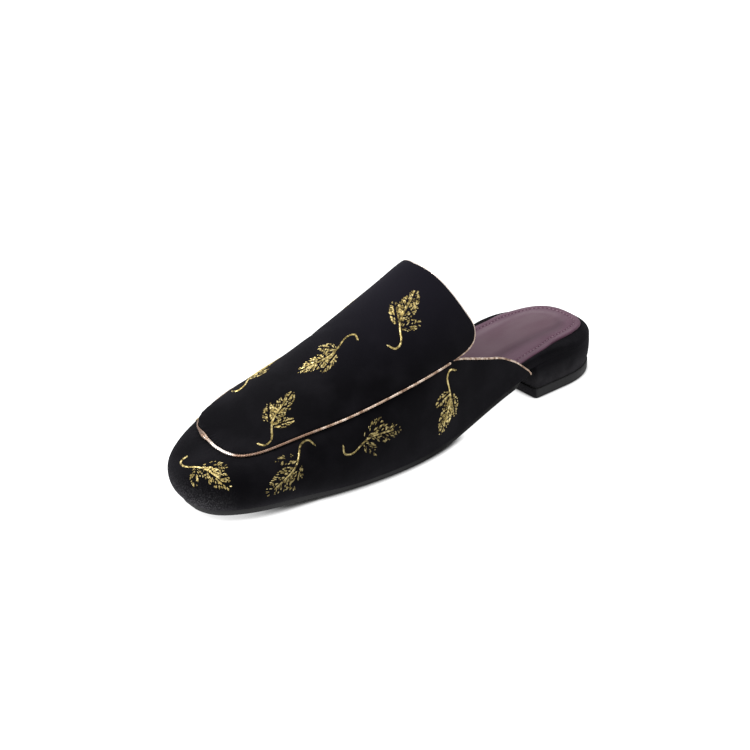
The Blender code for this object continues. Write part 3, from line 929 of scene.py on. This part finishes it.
def makeUpper(velvet, leather):
    # the lining is both panels again, one wall further in
    def panel(name, surface, finish, slotName, wall, sink, stands=()):
        solid = thicken(*surface, wall, sink, bulge=upper["wallBulge"])
        makePiece(name, *solid, finish, slotName, stands)

    def onQuarter(s, level):
        return skinPoint(s, level, False)

    def onApron(s, level):
        return skinPoint(s, level, True)

    wall = upper["velvetWall"]
    outer = (velvet, "velvet", wall, 0.0)
    panel("quarterVelvet", quarterSurface(upper["quarterGrid"], onQuarter), *outer, ["upper"])
    panel("apronVelvet", apronSurface(upper["apronGrid"], onApron), *outer)
    inner = (leather, "lining", upper["liningWall"], wall + upper["liningGap"])
    panel("quarterLining", quarterSurface(upper["quarterLiningGrid"], onQuarter), *inner)
    panel("apronLining", apronSurface(upper["apronLiningGrid"], onQuarter), *inner)


# metallic leather piping over a twisted core
piping = {
    "seamRadius": 0.60,
    "toeWider": 0.16,  # added round the toe, where the strip lies flatter
    "toePlace": 0.32,
    "foldWide": 0.66,  # the strip folds wide at the inner toe corner,
    "foldPlace": 0.105,
    "foldNip": 0.28,  # and is nipped beyond it
    "nipPlace": 0.172,
    "foldSpread": 0.030,
    "throatRadius": 0.50,
    "wingRadius": 0.55,
    "ribDepth": 0.085,
    "ribs": 2,
    "ribPitch": 2.5,
    "sides": 12,
    "step": 0.28,
    "endClose": 0.02,  # least share left open at a rounded end, squared
    "seamLift": 0.05,  # centre above the last at the apron seam
    "seamAside": 0.15,  # and towards the quarter
    "edgeOut": 0.50,  # centre beyond a free edge
    "edgeDown": 0.62,  # centre below the outer face
    "seamEnd": 0.668,  # places where the cords begin and end
    "throatStart": 0.674,
    "wingStart": 0.674,
    "wingEnd": 0.9155,
    "wingTuck": 1.6,  # how far the wing's piping runs on past the feather edge
    "seamPoints": 240,
    "throatPoints": 70,
    "wingPoints": 60,
}


def evenPath(points, step):
    chord = chordLength(points)
    count = max(int(chord[-1] / step), 4)
    along = np.linspace(0.0, chord[-1], count + 1)
    return np.stack([naturalSpline(chord, points[:, k])(along) for k in range(points.shape[1])], -1), along


def ribbedCord(points, radius):
    # a tube whose ribs wind round it, with rounded ends; one radius or one a point
    sized = np.concatenate((points, np.broadcast_to(np.reshape(radius, (-1, 1)), (len(points), 1))), 1)
    path, along = evenPath(sized, piping["step"])
    radius = path[:, 3:]
    path = path[:, :3]
    tangent = unit(np.gradient(path, axis=0))
    across = np.empty_like(path)
    helper = unit(np.cross(tangent[0], (0.0, 0.0, 1.0)))
    for i, t in enumerate(tangent):
        helper = unit(helper - t * np.dot(helper, t))
        across[i] = helper
    other = np.cross(tangent, across)
    turn = np.linspace(0, 2 * math.pi, piping["sides"], endpoint=False)[None, :]
    wind = 2 * math.pi * along[:, None] / piping["ribPitch"]
    ribs = 1 + piping["ribDepth"] / radius * np.cos(piping["ribs"] * (turn - wind))
    left = np.minimum(along, along[-1] - along)[:, None]
    close = np.sqrt(np.clip(1 - (1 - np.clip(left / radius, 0, 1)) ** 2, piping["endClose"], 1))
    reach = (radius * ribs * close)[..., None]
    spokes = across[:, None] * np.cos(turn)[..., None] + other[:, None] * np.sin(turn)[..., None]
    rings = path[:, None] + spokes * reach
    count = rings[..., 0].size
    numbers = np.arange(count).reshape(rings.shape[:2])
    faces = [face for low, high in zip(numbers, numbers[1:]) for face in ringFaces(low, high)]
    for i, j in zip(numbers[0], np.roll(numbers[0], -1)):
        faces += [(j, i, count), (numbers[-1, i], numbers[-1, j], count + 1)]
    return np.concatenate((rings.reshape(-1, 3), path[:1], path[-1:])), faces


def freeEdge(sign, place, level, inward):
    # a line just off a free edge of the upper; inward is the (place, level) step into the panel
    s = sign * place
    here = lastPoint(s, level)
    normal = lastNormal(s, level)
    away = unit(np.cross(np.gradient(here, axis=0), normal))
    inside = lastPoint(s + sign * inward[0], level + inward[1]) - here
    away = np.where(np.sum(away * inside, -1, keepdims=True) > 0, -away, away)
    return here + away * piping["edgeOut"] - normal * piping["edgeDown"]


def makePiping(metal):
    def cord(name, node, points, radius):
        makePiece(name, *ribbedCord(points, radius), metal, "piping", [node])

    s = np.linspace(-piping["seamEnd"], piping["seamEnd"], piping["seamPoints"])
    level = seamLevel(s)
    here = lastPoint(s, level)
    down = unit(lastPoint(s, level - 0.01) - here)
    radius = piping["seamRadius"] + piping["toeWider"] * (1 - smoothStep(np.abs(s), 0.0, piping["toePlace"]))
    radius += piping["foldWide"] * bell(s - piping["foldPlace"], piping["foldSpread"])
    radius -= piping["foldNip"] * bell(s - piping["nipPlace"], piping["foldSpread"])
    seam = here + lastNormal(s, level) * piping["seamLift"] + down * piping["seamAside"]
    cord("apronPiping", "apron_piping", seam, radius)
    edge = {key: tuple(cornerRows[key]) + tuple(throatRows[key][1:]) for key in ("place", "level")}
    place, level = edgeCurve(edge, piping["throatPoints"])
    first = int(np.argmax(place > piping["throatStart"]))
    outer, inner = (freeEdge(sign, place[first:], level[first:], (-0.01, 0.004)) for sign in (-1, 1))
    throat = np.concatenate((outer[:-1], (outer[-1:] + inner[-1:]) / 2, inner[-2::-1]))
    cord("throatPiping", "throat_piping", throat, piping["throatRadius"])
    place = np.linspace(piping["wingStart"], piping["wingEnd"], piping["wingPoints"])
    for sign, name in ((-1, "outer"), (1, "inner")):
        edge = freeEdge(sign, place, wingLevel(place), (0.0, -0.01))
        tail = unit(edge[-1] - edge[-2]) * np.linspace(0.0, piping["wingTuck"], 5)[1:, None]
        wing = np.concatenate((edge, edge[-1] + tail))
        cord(name + "WingPiping", name + "_wing_piping", wing, piping["wingRadius"])


# the footbed and what lies on and under it are stacks of plan rings
bed = {
    "thick": 3.5,
    "half": 25.4,  # half width of the heel seat
    "back": 0.2,  # station where it begins
    "round": 30.0,  # length of its rounded end
    "power": 2.3,  # and how square that is
    "clear": 1.7,  # room left to the upper's wall
    "seatFront": 44.0,  # station where the seat's straight sides end
    "seatEnd": 58.0,  # station where the last's outline takes over
    "waistEnd": 95.0,
    "tip": 0.02,  # place where the rings close at the toe
    "upperWall": 2.0,
    "heelRoll": 1.7,  # roundness of the rolled edge at the heel
    "waistRoll": 3.6,  # and at the waist, where it is tight
    "rollSpan": (16.0, 46.0),
    "rings": 16,
    "underInset": 0.5,
    "skin": 0.05,
    "lip": 0.9,  # how far the roll stands up beside the insole
    "lipAside": 0.3,
    "lipSpan": (24.0, 44.0),
    "lipFall": ((0.0, 0.35), (0.15, 1.0), (0.9, 1.0)),  # inset, and the share of the lip lost there
    "topExtra": 0.1,
    "backHalf": 0.2,
    "turnSteps": 61,
    "straightSteps": 20,
    "sideSteps": 90,
    "points": 170,  # on each side of the finished ring
}
insole = {
    "thick": 1.2,
    "half": 18.2,  # half width at the heel end,
    "taper": 0.085,  # and what each millimetre forward adds to it
    "back": 4.9,
    "round": 20.0,
    "power": 2.6,
    "arch": 2.3,  # how far the inner side draws in at the arch
    "archSpan": (32.0, 52.0),
    "archRise": 1.0,  # how far it stands up there
    "archPower": 1.5,
    "riseSpans": ((14.0, 40.0), (80.0, 112.0)),
    "seatIn": 1.5,  # how far the outer side draws in at the heel
    "seatSpans": ((6.0, 18.0), (32.0, 44.0)),
    "clear": 1.3,
    "tuckShare": 0.45,
    "gap": 0.3,  # above the footbed
    # inset and rise of each ring of its rounded edge
    "edge": ((0.3, -0.1), (0.0, 0.0), (-0.03, 0.45), (0.06, 0.85), (0.22, 1.08), (0.5, 1.19), (1.0, 1.24)),
    "topExtra": 0.09,
    "crown": 0.6,  # how much the middle swells,
    "crownWidth": 24.0,  # in full where it is this wide
    "crownPower": 0.8,
    "stitchInset": 3.4,
    "stitchPitch": 2.3,
    "stitchLength": 1.5,
    "stitchShares": (-0.5, -0.25, 0.25, 0.5),  # where its points lie along it
    "stitchWidth": 0.30,
    "stitchHeight": 0.34,
    "stitchSink": 0.02,
    "grooveDepth": 0.40,
    "grooveWidth": 0.34,
    "grooveSteps": (-0.9, -0.5, -0.25, 0.0, 0.25, 0.5, 0.9),
    "points": 240,
}


def seatRound(shape, taper, front):
    # one side of a heel seat: a squared quarter round, then straight on, as stations and half widths
    half, back, length, power = (shape[key] for key in ("half", "back", "round", "power"))
    turn = np.linspace(0, math.pi / 2, bed["turnSteps"])
    ahead = length * (1 - np.cos(turn) ** (2 / power))
    width = (half + taper * ahead) * np.sin(turn) ** (2 / power)
    straight = np.linspace(back + length, front, bed["straightSteps"])[1:]
    station = np.concatenate((back + ahead, straight))
    return station, np.concatenate((width, half + taper * (straight - back)))


def placeAt(sign, station):
    # the place where one side of the outline passes a station
    low, high = 0.0, 1.0
    for _ in range(30):
        middle = (low + high) / 2
        if outline(sign * middle)[0] > station:
            low = middle
        else:
            high = middle
    return low


def evenSide(side, count):
    # the same line with its points evenly spaced
    chord = chordLength(side)
    along = np.linspace(0.0, chord[-1], count)
    return np.stack([np.interp(along, chord, side[:, k]) for k in range(2)], -1)


def bedRing(shape, count):
    # closed plan ring of (station, side): the outer side from back to front, then the inner side
    isFoot = shape is bed
    taper = 0.0 if isFoot else insole["taper"]
    station, width = seatRound(shape, taper, bed["seatFront"])
    place = np.linspace(placeAt(-1, bed["seatEnd"]), bed["tip"], bed["sideSteps"])
    sides = []
    for sign in (-1, 1):
        t, x = outline(sign * place)
        tuck = sectionTuck(t)
        drawnIn = 0.0
        distance = tuck + bed["upperWall"] + bed["clear"]
        if not isFoot:
            drawnIn = insole["seatIn"] * plateau(station, *insole["seatSpans"])
            if sign > 0:
                drawnIn = insole["arch"] * smoothStep(station, *insole["archSpan"])
            seatHalf = insole["half"] + taper * (t - insole["back"])
            share = smoothStep(t, bed["seatEnd"], bed["waistEnd"])
            walls = insole["tuckShare"] * tuck + bed["upperWall"] + insole["clear"]
            waistIn = insole["arch"] if sign > 0 else 0.0
            distance = (np.abs(x) - seatHalf + waistIn) * (1 - share) + walls * share
        t2, x2 = insetOutline(sign * place, distance)
        seatSide = -sign * (width - drawnIn)
        line = np.stack((np.concatenate((station, t2)), np.concatenate((seatSide, x2))), -1)
        sides.append(evenSide(line, count))
    sides[1][0] = sides[0][0]
    for side, across in zip(sides, (bed["backHalf"], -bed["backHalf"])):
        side[0, 1] = across
    return np.concatenate((sides[0], sides[1][::-1]))


def offsetRing(ring, distance):
    # the ring moved in by a distance, square to itself
    tangent = unit(np.roll(ring, -1, 0) - np.roll(ring, 1, 0))
    inward = np.stack((-tangent[:, 1], tangent[:, 0]), -1)
    if np.sum(inward * (ring.mean(0) - ring)) < 0:
        inward = -inward
    return ring + inward * distance


def ringLevel(ring, height):
    return rowPoint(ring[:, 0], ring[:, 1], height)


def archRise(ring):
    # the inner side stands a little higher along the arch
    aside = np.clip(-ring[:, 1] / insole["half"], 0.0, 1.0) ** insole["archPower"]
    return insole["archRise"] * plateau(ring[:, 0], *insole["riseSpans"]) * aside


def outward(points, faces):
    # turns a closed body's faces outwards
    a, b, c = np.moveaxis(points[fanned(faces)], 1, 0)
    volume = np.sum(a * np.cross(b, c))
    return points, faces if volume > 0 else [tuple(face[::-1]) for face in faces]


def stackedSolid(levels, columns=24, crown=0.0):
    # closed solid from rings of 3D points, capped across by rows of quads
    rings = len(levels[0])
    half = rings // 2
    points = [np.asarray(level) for level in levels]
    start = len(levels) * rings
    numbers = np.arange(start).reshape(-1, rings)
    faces = [face for low, high in zip(numbers, numbers[1:]) for face in ringFaces(low, high)]
    share = np.linspace(0, 1, columns + 1)[1:-1]
    for k, flip in ((0, True), (len(levels) - 1, False)):
        ring = levels[k]
        outer = ring[:half]
        inner = ring[half:][::-1]
        across = outer[:, None] * (1 - share[None, :, None]) + inner[:, None] * share[None, :, None]
        if crown and not flip:
            width = np.linalg.norm(outer - inner, axis=-1)[:, None]
            swell = crown * smoothStep(width, 0.0, insole["crownWidth"])
            across[..., 2] += swell * (1 - (2 * share[None, :] - 1) ** 2) ** insole["crownPower"]
        points.append(across[1:-1].reshape(-1, 3))
        grid = []
        for i in range(half):
            first = start + (i - 1) * (columns - 1)
            between = () if i in (0, half - 1) else range(first, first + columns - 1)
            grid.append([numbers[k, i], *between, numbers[k, rings - 1 - i]])
        for rear, fore in zip(grid, grid[1:]):
            if len(rear) == len(fore):
                caps = [(rear[c], rear[c + 1], fore[c + 1], fore[c]) for c in range(len(rear) - 1)]
            else:
                caps = [(*rear, *fore[::-1])]
            faces += [face[::-1] for face in caps] if flip else caps
        start += (half - 2) * (columns - 1)
    return outward(np.concatenate(points), faces)


def makeFootbed(velvet):
    foot = bedRing(bed, bed["points"])
    edge = bedRing(insole, bed["points"])
    tight = smoothStep(foot[:, :1], *bed["rollSpan"])
    roundness = bed["heelRoll"] + (bed["waistRoll"] - bed["heelRoll"]) * tight
    under = offsetRing(foot, bed["underInset"])
    levels = [ringLevel(under, featherHeight(under[:, 0]) - bed["skin"])]
    crest = offsetRing(edge, -bed["lipAside"])
    lip = bed["lip"] * smoothStep(edge[:, 0], *bed["lipSpan"])
    for share in np.sin(np.linspace(0.0, math.pi / 2, bed["rings"])):
        inward = 1 - (1 - min(share, 1.0) ** roundness) ** (1 / roundness)
        ring = foot + (crest - foot) * inward
        rise = (bed["thick"] + lip + archRise(ring)) * share
        levels.append(ringLevel(ring, featherHeight(ring[:, 0]) + rise + bed["skin"]))
    for inset, fall in bed["lipFall"]:
        top = offsetRing(edge, inset)
        rise = bed["thick"] + bed["topExtra"] + lip * (1 - fall) + archRise(top)
        levels.append(ringLevel(top, featherHeight(top[:, 0]) + rise))
    makePiece("footbedVelvet", *stackedSolid(levels), velvet, "velvet", ["footbed"])


def makeInsole(leather, thread):
    edge = bedRing(insole, insole["points"])

    def laid(inset, rise):
        # the ring moved in, and laid that much above the footbed
        ring = offsetRing(edge, inset)
        seat = featherHeight(ring[:, 0]) + bed["thick"] + insole["gap"]
        return ringLevel(ring, seat + rise + archRise(ring))

    profile = list(insole["edge"])
    for step in insole["grooveSteps"]:
        dip = insole["grooveDepth"] * math.exp(-(step / insole["grooveWidth"]) ** 2)
        profile.append((insole["stitchInset"] + step, insole["thick"] + insole["topExtra"] - dip))
    solid = stackedSolid([laid(*row) for row in profile], 30, insole["crown"])
    makePiece("insoleLeather", *solid, leather, "insole_leather", ["insole"])
    points = laid(insole["stitchInset"], insole["thick"] - insole["stitchSink"])
    path, _ = evenPath(np.concatenate((points, points[:1])), insole["stitchPitch"])
    ahead = unit(np.gradient(path, axis=0))[:-1]
    spread = np.array(insole["stitchShares"]) * insole["stitchLength"]
    lines = path[:-1, None] + ahead[:, None] * spread[None, :, None]
    up = np.broadcast_to((0.0, 0.0, 1.0), lines.shape)
    stitches = threadMesh(lines, up, insole["stitchWidth"], insole["stitchHeight"])
    makePiece("insoleStitching", *stitches, thread, "insole_leather")


heel = {
    "breast": 51.5,  # station of its front face at the floor
    "breastLean": 1.6,  # how much further forward that is at the top
    "round": 30.0,
    "power": 2.3,
    "corner": 1.6,  # roundness of its front corners
    "cornerSteps": 5,
    "liftFront": 0.9,  # how far the lift stands out in front
    "foldedUnder": ((5.28, 0.9), (5.3, 0.2), (5.42, 0.03)),  # height and inset of the velvet's lower edge
    "sideStart": 6.2,  # height where its plain sides begin
    "top": 18.8,
    "sideRows": 12,
    "seatGap": 0.08,
    "points": 130,
}
# half width and rearmost station of the block and the lift at each height
heelRows = {
    "height": (5.5, 8.0, 12.0, 15.5, 18.8),
    "half": (25.35, 25.55, 25.7, 25.6, 25.4),
    "back": (1.7, 1.0, 0.4, 0.2, 0.2),
}
liftRows = {
    "height": (0.0, 0.25, 0.8, 3.0, 4.9, 5.2),
    "half": (25.4, 25.75, 25.95, 26.0, 26.0, 25.85),
    "back": (2.2, 1.85, 1.55, 1.45, 1.4, 1.55),
}


def heelRing(height, half, back, inset=0.0, ahead=0.0):
    # plan ring of the heel at a height: rounded back, straight sides, front corners eased
    front = heel["breast"] + heel["breastLean"] * height / heel["top"] + ahead - inset
    half -= inset
    station, width = seatRound(dict(heel, half=half, back=back + inset), 0.0, front - heel["corner"])
    turn = np.linspace(0, math.pi / 2, heel["cornerSteps"])[1:]
    station = np.concatenate((station, front - heel["corner"] * (1 - np.sin(turn))))
    width = np.concatenate((width, half - heel["corner"] * (1 - np.cos(turn))))
    side = evenSide(np.stack((station, np.maximum(width, bed["backHalf"])), -1), heel["points"])
    return np.concatenate((side, (side * (1, -1))[::-1]))


def makeHeel(velvet, rubber):
    widest = max(liftRows["half"])
    levels = []
    for height, half, back in zip(*liftRows.values()):
        ring = heelRing(height, half, back, 0.0, heel["liftFront"] - (widest - half))
        levels.append(ringLevel(ring, height))
    lift = makePiece("topLift", *stackedSolid(levels), rubber, "lift_rubber", ["top_lift"])
    lift.data.materials.append(velvet)
    for face in lift.data.polygons:    # the black velvet goes on its front faces, a painted shade where that front lies in shadow
        face.material_index = int(face.normal.y < -0.5)
    halfOf, backOf = rowSplines(heelRows, "height", "half", "back")
    sides = np.linspace(heel["sideStart"], heel["top"], heel["sideRows"])
    levels = []
    for height, inset in list(heel["foldedUnder"]) + [(height, 0.0) for height in sides]:
        ring = heelRing(height, float(halfOf(height)), float(backOf(height)), inset)
        seat = featherHeight(ring[:, 0]) - heel["seatGap"]
        levels.append(ringLevel(ring, seat if height == heel["top"] else height))
    makePiece("heelVelvet", *stackedSolid(levels), velvet, "velvet", ["heel_block"])


sole = {
    "thick": 3.0,
    "inset": 1.2,  # inside the feather line
    "rearHalf": 22.0,  # half width at the heel's front face
    "waistEnd": 70.0,  # station where it has its full width
    "waistExtra": 0.8,  # added thickness along the waist
    "extraEnd": (80.0, 112.0),
    "gap": 0.3,  # to the heel
    "topGap": 0.1,  # under the feather line
    "sink": 0.2,  # brings its lower face down to the solid's
    "edge": ((0.9, 0.0), (0.25, 0.04), (0.0, 0.18), (0.0, 0.8), (0.15, 0.97), (0.6, 1.0)),  # inset, share up
    "sideSteps": 220,
    "points": 150,
}


def makeOutsole(rubber):
    rear = heel["breast"] + heel["breastLean"] + sole["gap"]
    sides = []
    for sign in (-1, 1):
        place = np.linspace(placeAt(sign, rear), bed["tip"], sole["sideSteps"])
        t, x = outline(sign * place)
        share = smoothStep(t, rear, sole["waistEnd"])
        distance = (np.abs(x) - sole["rearHalf"]) * (1 - share) + (sectionTuck(t) + sole["inset"]) * share
        sides.append(evenSide(np.stack(insetOutline(sign * place, distance), -1), sole["points"]))
    ring = np.concatenate((sides[0], sides[1][::-1]))
    levels = []
    for inset, share in sole["edge"]:
        level = offsetRing(ring, inset)
        high = featherHeight(level[:, 0]) - sole["topGap"]
        extra = sole["waistExtra"] * (1 - smoothStep(level[:, 0], *sole["extraEnd"]))
        low = np.maximum(high - sole["sink"] - sole["thick"] - extra, 0.0)
        levels.append(ringLevel(level, low + (high - low) * share))
    makePiece("outsoleRubber", *stackedSolid(levels), rubber, "sole_rubber", ["outsole"])


# leaf sprigs in broken floats of gold thread, woven all over the velvet
sprig = {
    "barbGap": 0.68,  # from one barb to the next along a midrib
    "barbAngle": 38.0,
    "firstBarb": -2.0,
    "barbReach": 12.0,  # the longest a barb can be
    "barbStep": 0.1,
    "barbLeast": 6,  # steps in the shortest barb
    "midribGap": 0.32,  # left bare on both sides of the midrib
    "leafBlunt": (0.85, 0.7),  # powers that shape a leaf's outline
    "startSpread": 0.3,
    "endSpread": 0.35,
    "breaks": (0.12, 0.55),  # open lengths between one float and the next
    "leastRoom": 0.4,
    "floatHalf": 0.24,
    "floatHeight": 0.20,
    "floatSteps": 5,
    "shortest": 0.8,
    "longest": 2.5,
    "shadedPast": 0.55,  # share of missing floats past which the rest get the dimmer gold, a painted shade
    "stemHalf": 0.40,
    "stemHeight": 0.36,
    "stemStitch": 2.3,
    "stemPitch": 1.25,
    "stemStep": 0.25,
    "stemSlant": 0.5,
    "lift": 0.03,  # above the velvet
    "seamClear": 1.0,
    "edgeClear": 0.010,  # in places and levels
    "netStep": 1.5,  # between the knots of the net that a sprig is laid on
    "netColumns": 13,
    "netRows": 8,
    "seed": 11,
}
leafRows = [
    # from and to in the sprig's own plane, and half width
    ((-2.0, 0.2), (16.5, 3.6), 4.6),
    ((-4.5, 0.0), (5.5, 9.6), 3.1),
    ((-5.0, -2.0), (4.5, -8.6), 2.8),
]
stemRow = ((-15.5, -3.2), (-14.6, -6.4), (-11.0, -6.8), (-7.0, -3.8), (-2.5, -0.2), (4.0, 1.7), (11.0, 3.0))
sprigRows = [
    # signed place and level of each sprig's middle, its turn in degrees from toeward,
    # and the share of its floats that are missing
    (-0.60, 0.77, 200, 0.34),
    (-0.45, 0.95, 330, 0.38),
    (-0.27, 0.82, 190, 0.40),
    (-0.65, 0.24, 55, 0.40),
    (-0.44, 0.31, 165, 0.58),
    (-0.25, 0.34, 15, 0.60),
    (-0.05, 0.55, 80, 0.40),
    (0.62, 0.62, 300, 0.36),
    (0.36, 0.64, 170, 0.40),
    (0.28, 0.27, 190, 0.42),
    (0.45, 0.28, 100, 0.50),
    (0.61, 0.22, 50, 0.45),
    (0.77, 0.14, 130, 0.45),
]


def leafFloats(rng, missing):
    # floats of all three leaves as (start, end) pairs in the sprig's plane
    floats = []
    lean = math.radians(sprig["barbAngle"])
    reach = np.arange(0.0, sprig["barbReach"], sprig["barbStep"])
    out = reach * math.sin(lean)
    fall, blunt = sprig["leafBlunt"]
    for first, second, widest in leafRows:
        root = np.array(first)
        run = np.array(second) - root
        length = np.linalg.norm(run)
        ahead = run / length
        aside = np.array((-ahead[1], ahead[0]))
        for hand in (-1, 1):
            barb = ahead * math.cos(lean) + aside * math.sin(lean) * hand
            for start in np.arange(sprig["firstBarb"], length, sprig["barbGap"]):
                origin = root + ahead * start
                along = start + reach * math.cos(lean)
                half = widest * np.sin(math.pi * np.clip(along / length, 0.0, 1.0) ** fall) ** blunt
                inLeaf = (out > sprig["midribGap"]) & (out < half) & (along > 0) & (along < length)
                inside = np.flatnonzero(inLeaf)
                if len(inside) < sprig["barbLeast"]:
                    continue
                here = inside[0] * sprig["barbStep"] + rng.uniform(0.0, sprig["startSpread"])
                end = inside[-1] * sprig["barbStep"]
                while here < end - sprig["leastRoom"]:
                    there = here + rng.uniform(sprig["shortest"], sprig["longest"])
                    there = min(there, end + rng.uniform(0.0, sprig["endSpread"]))
                    if rng.random() > missing:
                        floats.append((origin + barb * here, origin + barb * there))
                    here = there + rng.uniform(*sprig["breaks"])
    return np.array(floats)


def stemFloats():
    # slanted stitches that overlap along the stem's curve
    curve, along = evenPath(np.array(stemRow, float), sprig["stemStep"])
    ahead = unit(np.gradient(curve, axis=0))
    every = int(sprig["stemPitch"] / (along[1] - along[0]))
    aside = np.stack((-ahead[:, 1], ahead[:, 0]), -1)
    half = (ahead * sprig["stemStitch"] + aside * sprig["stemSlant"]) / 2
    return np.stack((curve - half, curve + half), 1)[::every]


def surfaceStep(s, level, ahead):
    # a step along the last's surface; ahead turns with it
    step = 0.002
    lowest = -0.02    # a little below the feather line
    distance = sprig["netStep"]
    here = lastPoint(s, level)
    overPlace = (lastPoint(s + step, level) - here) / step
    overLevel = (lastPoint(s, level + step) - here) / step
    a = np.sum(overPlace * overPlace, -1)
    b = np.sum(overPlace * overLevel, -1)
    c = np.sum(overLevel * overLevel, -1)
    p = np.sum(ahead * overPlace, -1)
    q = np.sum(ahead * overLevel, -1)
    area = a * c - b * b
    with np.errstate(invalid="ignore"):    # knots beyond the last come out as nan; nothing there is kept
        s = s + (p * c - q * b) / area * distance
        level = np.maximum(level + (q * a - p * b) / area * distance, lowest)
    normal = lastNormal(s, np.maximum(level, 0.0))
    return s, level, unit(ahead - normal * np.sum(ahead * normal, -1, keepdims=True))


def walked(s, level, ahead, count):
    # the knots passed on both sides of a start, each with the way ahead there
    knots = {}
    for way in (1, -1):
        here = (s, level, ahead * way)
        for i in range(count + 1):
            knots[way * i] = (here[0], here[1], here[2] * way)
            here = surfaceStep(*here)
    return [knots[i] for i in range(-count, count + 1)]


def sprigNet(place, level, turn):
    # places and levels of a square net laid on the last round a middle
    middle = np.array([place]), np.array([level])
    normal = lastNormal(*middle)
    toeward = np.array([[0.0, -1.0, 0.0]])
    first = unit(toeward - normal * np.sum(toeward * normal))
    angle = math.radians(turn)
    first = first * math.cos(angle) + np.cross(normal, first) * math.sin(angle)
    spine = walked(*middle, first, sprig["netColumns"])
    s, level, ahead = (np.concatenate([knot[k] for knot in spine]) for k in range(3))
    net = walked(s, level, np.cross(lastNormal(s, level), ahead), sprig["netRows"])
    return tuple(np.stack([knot[k] for knot in net], 1) for k in range(2))


def onNet(net, points):
    # place and level of plane points, read between the net's knots
    middle = np.array((sprig["netColumns"], sprig["netRows"]))
    spot = np.clip(points / sprig["netStep"] + middle, 0, 2 * middle - 0.001)
    knot = spot.astype(int)
    i, j = np.moveaxis(knot, -1, 0)
    a, b = np.moveaxis(spot - knot, -1, 0)
    return tuple(k[i, j] * (1 - a) * (1 - b) + k[i + 1, j] * a * (1 - b) + k[i, j + 1] * (1 - a) * b
                 + k[i + 1, j + 1] * a * b for k in net)


def insidePanels(s, level):
    # true where there is velvet clear of seams and free edges
    gap, side = seamGap(s, level)
    low = folded(s, level)[1]
    place = np.abs(side)
    clear = sprig["edgeClear"]
    cornerLevel, = rowSplines(cornerRows, "place", "level")
    throatPlace, = rowSplines(throatRows, "level", "place")
    apronEdge = np.maximum(throatPlace(np.maximum(low, throatRows["level"][0])), cornerAt)
    onApron = (gap > sprig["seamClear"]) & (place < apronEdge - clear)
    onApron &= (place < cornerAt) | (low > cornerLevel(place) + 2 * clear)
    onQuarter = (low < wingLevel(place) - 2 * clear) | (place < cornerAt)
    onQuarter &= (gap < -sprig["seamClear"]) & (low > clear) & (place < wingRows["place"][-2])
    return onApron, onQuarter


def threadsOn(net, floats, halfWidth, height):
    # floats laid along the velvet; those that leave their panel are cut away
    share = np.linspace(0.0, 1.0, sprig["floatSteps"])[None, :, None]
    s, level = onNet(net, floats[:, :1] * (1 - share) + floats[:, 1:] * share)
    onApron, onQuarter = insidePanels(s, level)
    kept = onApron.all(1) | onQuarter.all(1)
    s, level, onApron = s[kept], level[kept], onApron[kept]
    normals = lastNormal(s, level)
    lines = skinPoint(s, level, onApron) + normals * sprig["lift"]
    return threadMesh(lines, normals, halfWidth, height)


def makeSprigs(gold, shadedGold):
    rng = np.random.default_rng(sprig["seed"])
    for number, (place, level, turn, missing) in enumerate(sprigRows, 1):
        # the sprigs low on the quarter get painted shade, a dimmer gold
        thread = shadedGold if missing > sprig["shadedPast"] else gold
        net = sprigNet(place, level, turn)
        leaves = threadsOn(net, leafFloats(rng, missing), sprig["floatHalf"], sprig["floatHeight"])
        stem = threadsOn(net, stemFloats(), sprig["stemHalf"], sprig["stemHeight"])
        faces = leaves[1] + [tuple(v + len(leaves[0]) for v in face) for face in stem[1]]
        points = np.concatenate((leaves[0], stem[0]))
        makePiece(f"goldSprig{number:02d}", points, faces, thread, "gold_thread")


velvet = makeVelvet()
makeUpper(velvet, makePlainLook("liningLeather"))
print("upper and lining made")
makePiping(makePipingMetal())
print("piping made")
makeFootbed(velvet)
makeInsole(makeInsoleLeather(), makePlainLook("insoleThread"))
makeHeel(velvet, makePlainLook("liftRubber"))
makeOutsole(makePlainLook("soleRubber"))
print("footbed, insole, heel and outsole made")
makeSprigs(makeGoldThread("goldThread"), makeGoldThread("shadedGoldThread", goldLook["shadeBrightness"]))
print("gold sprigs woven")
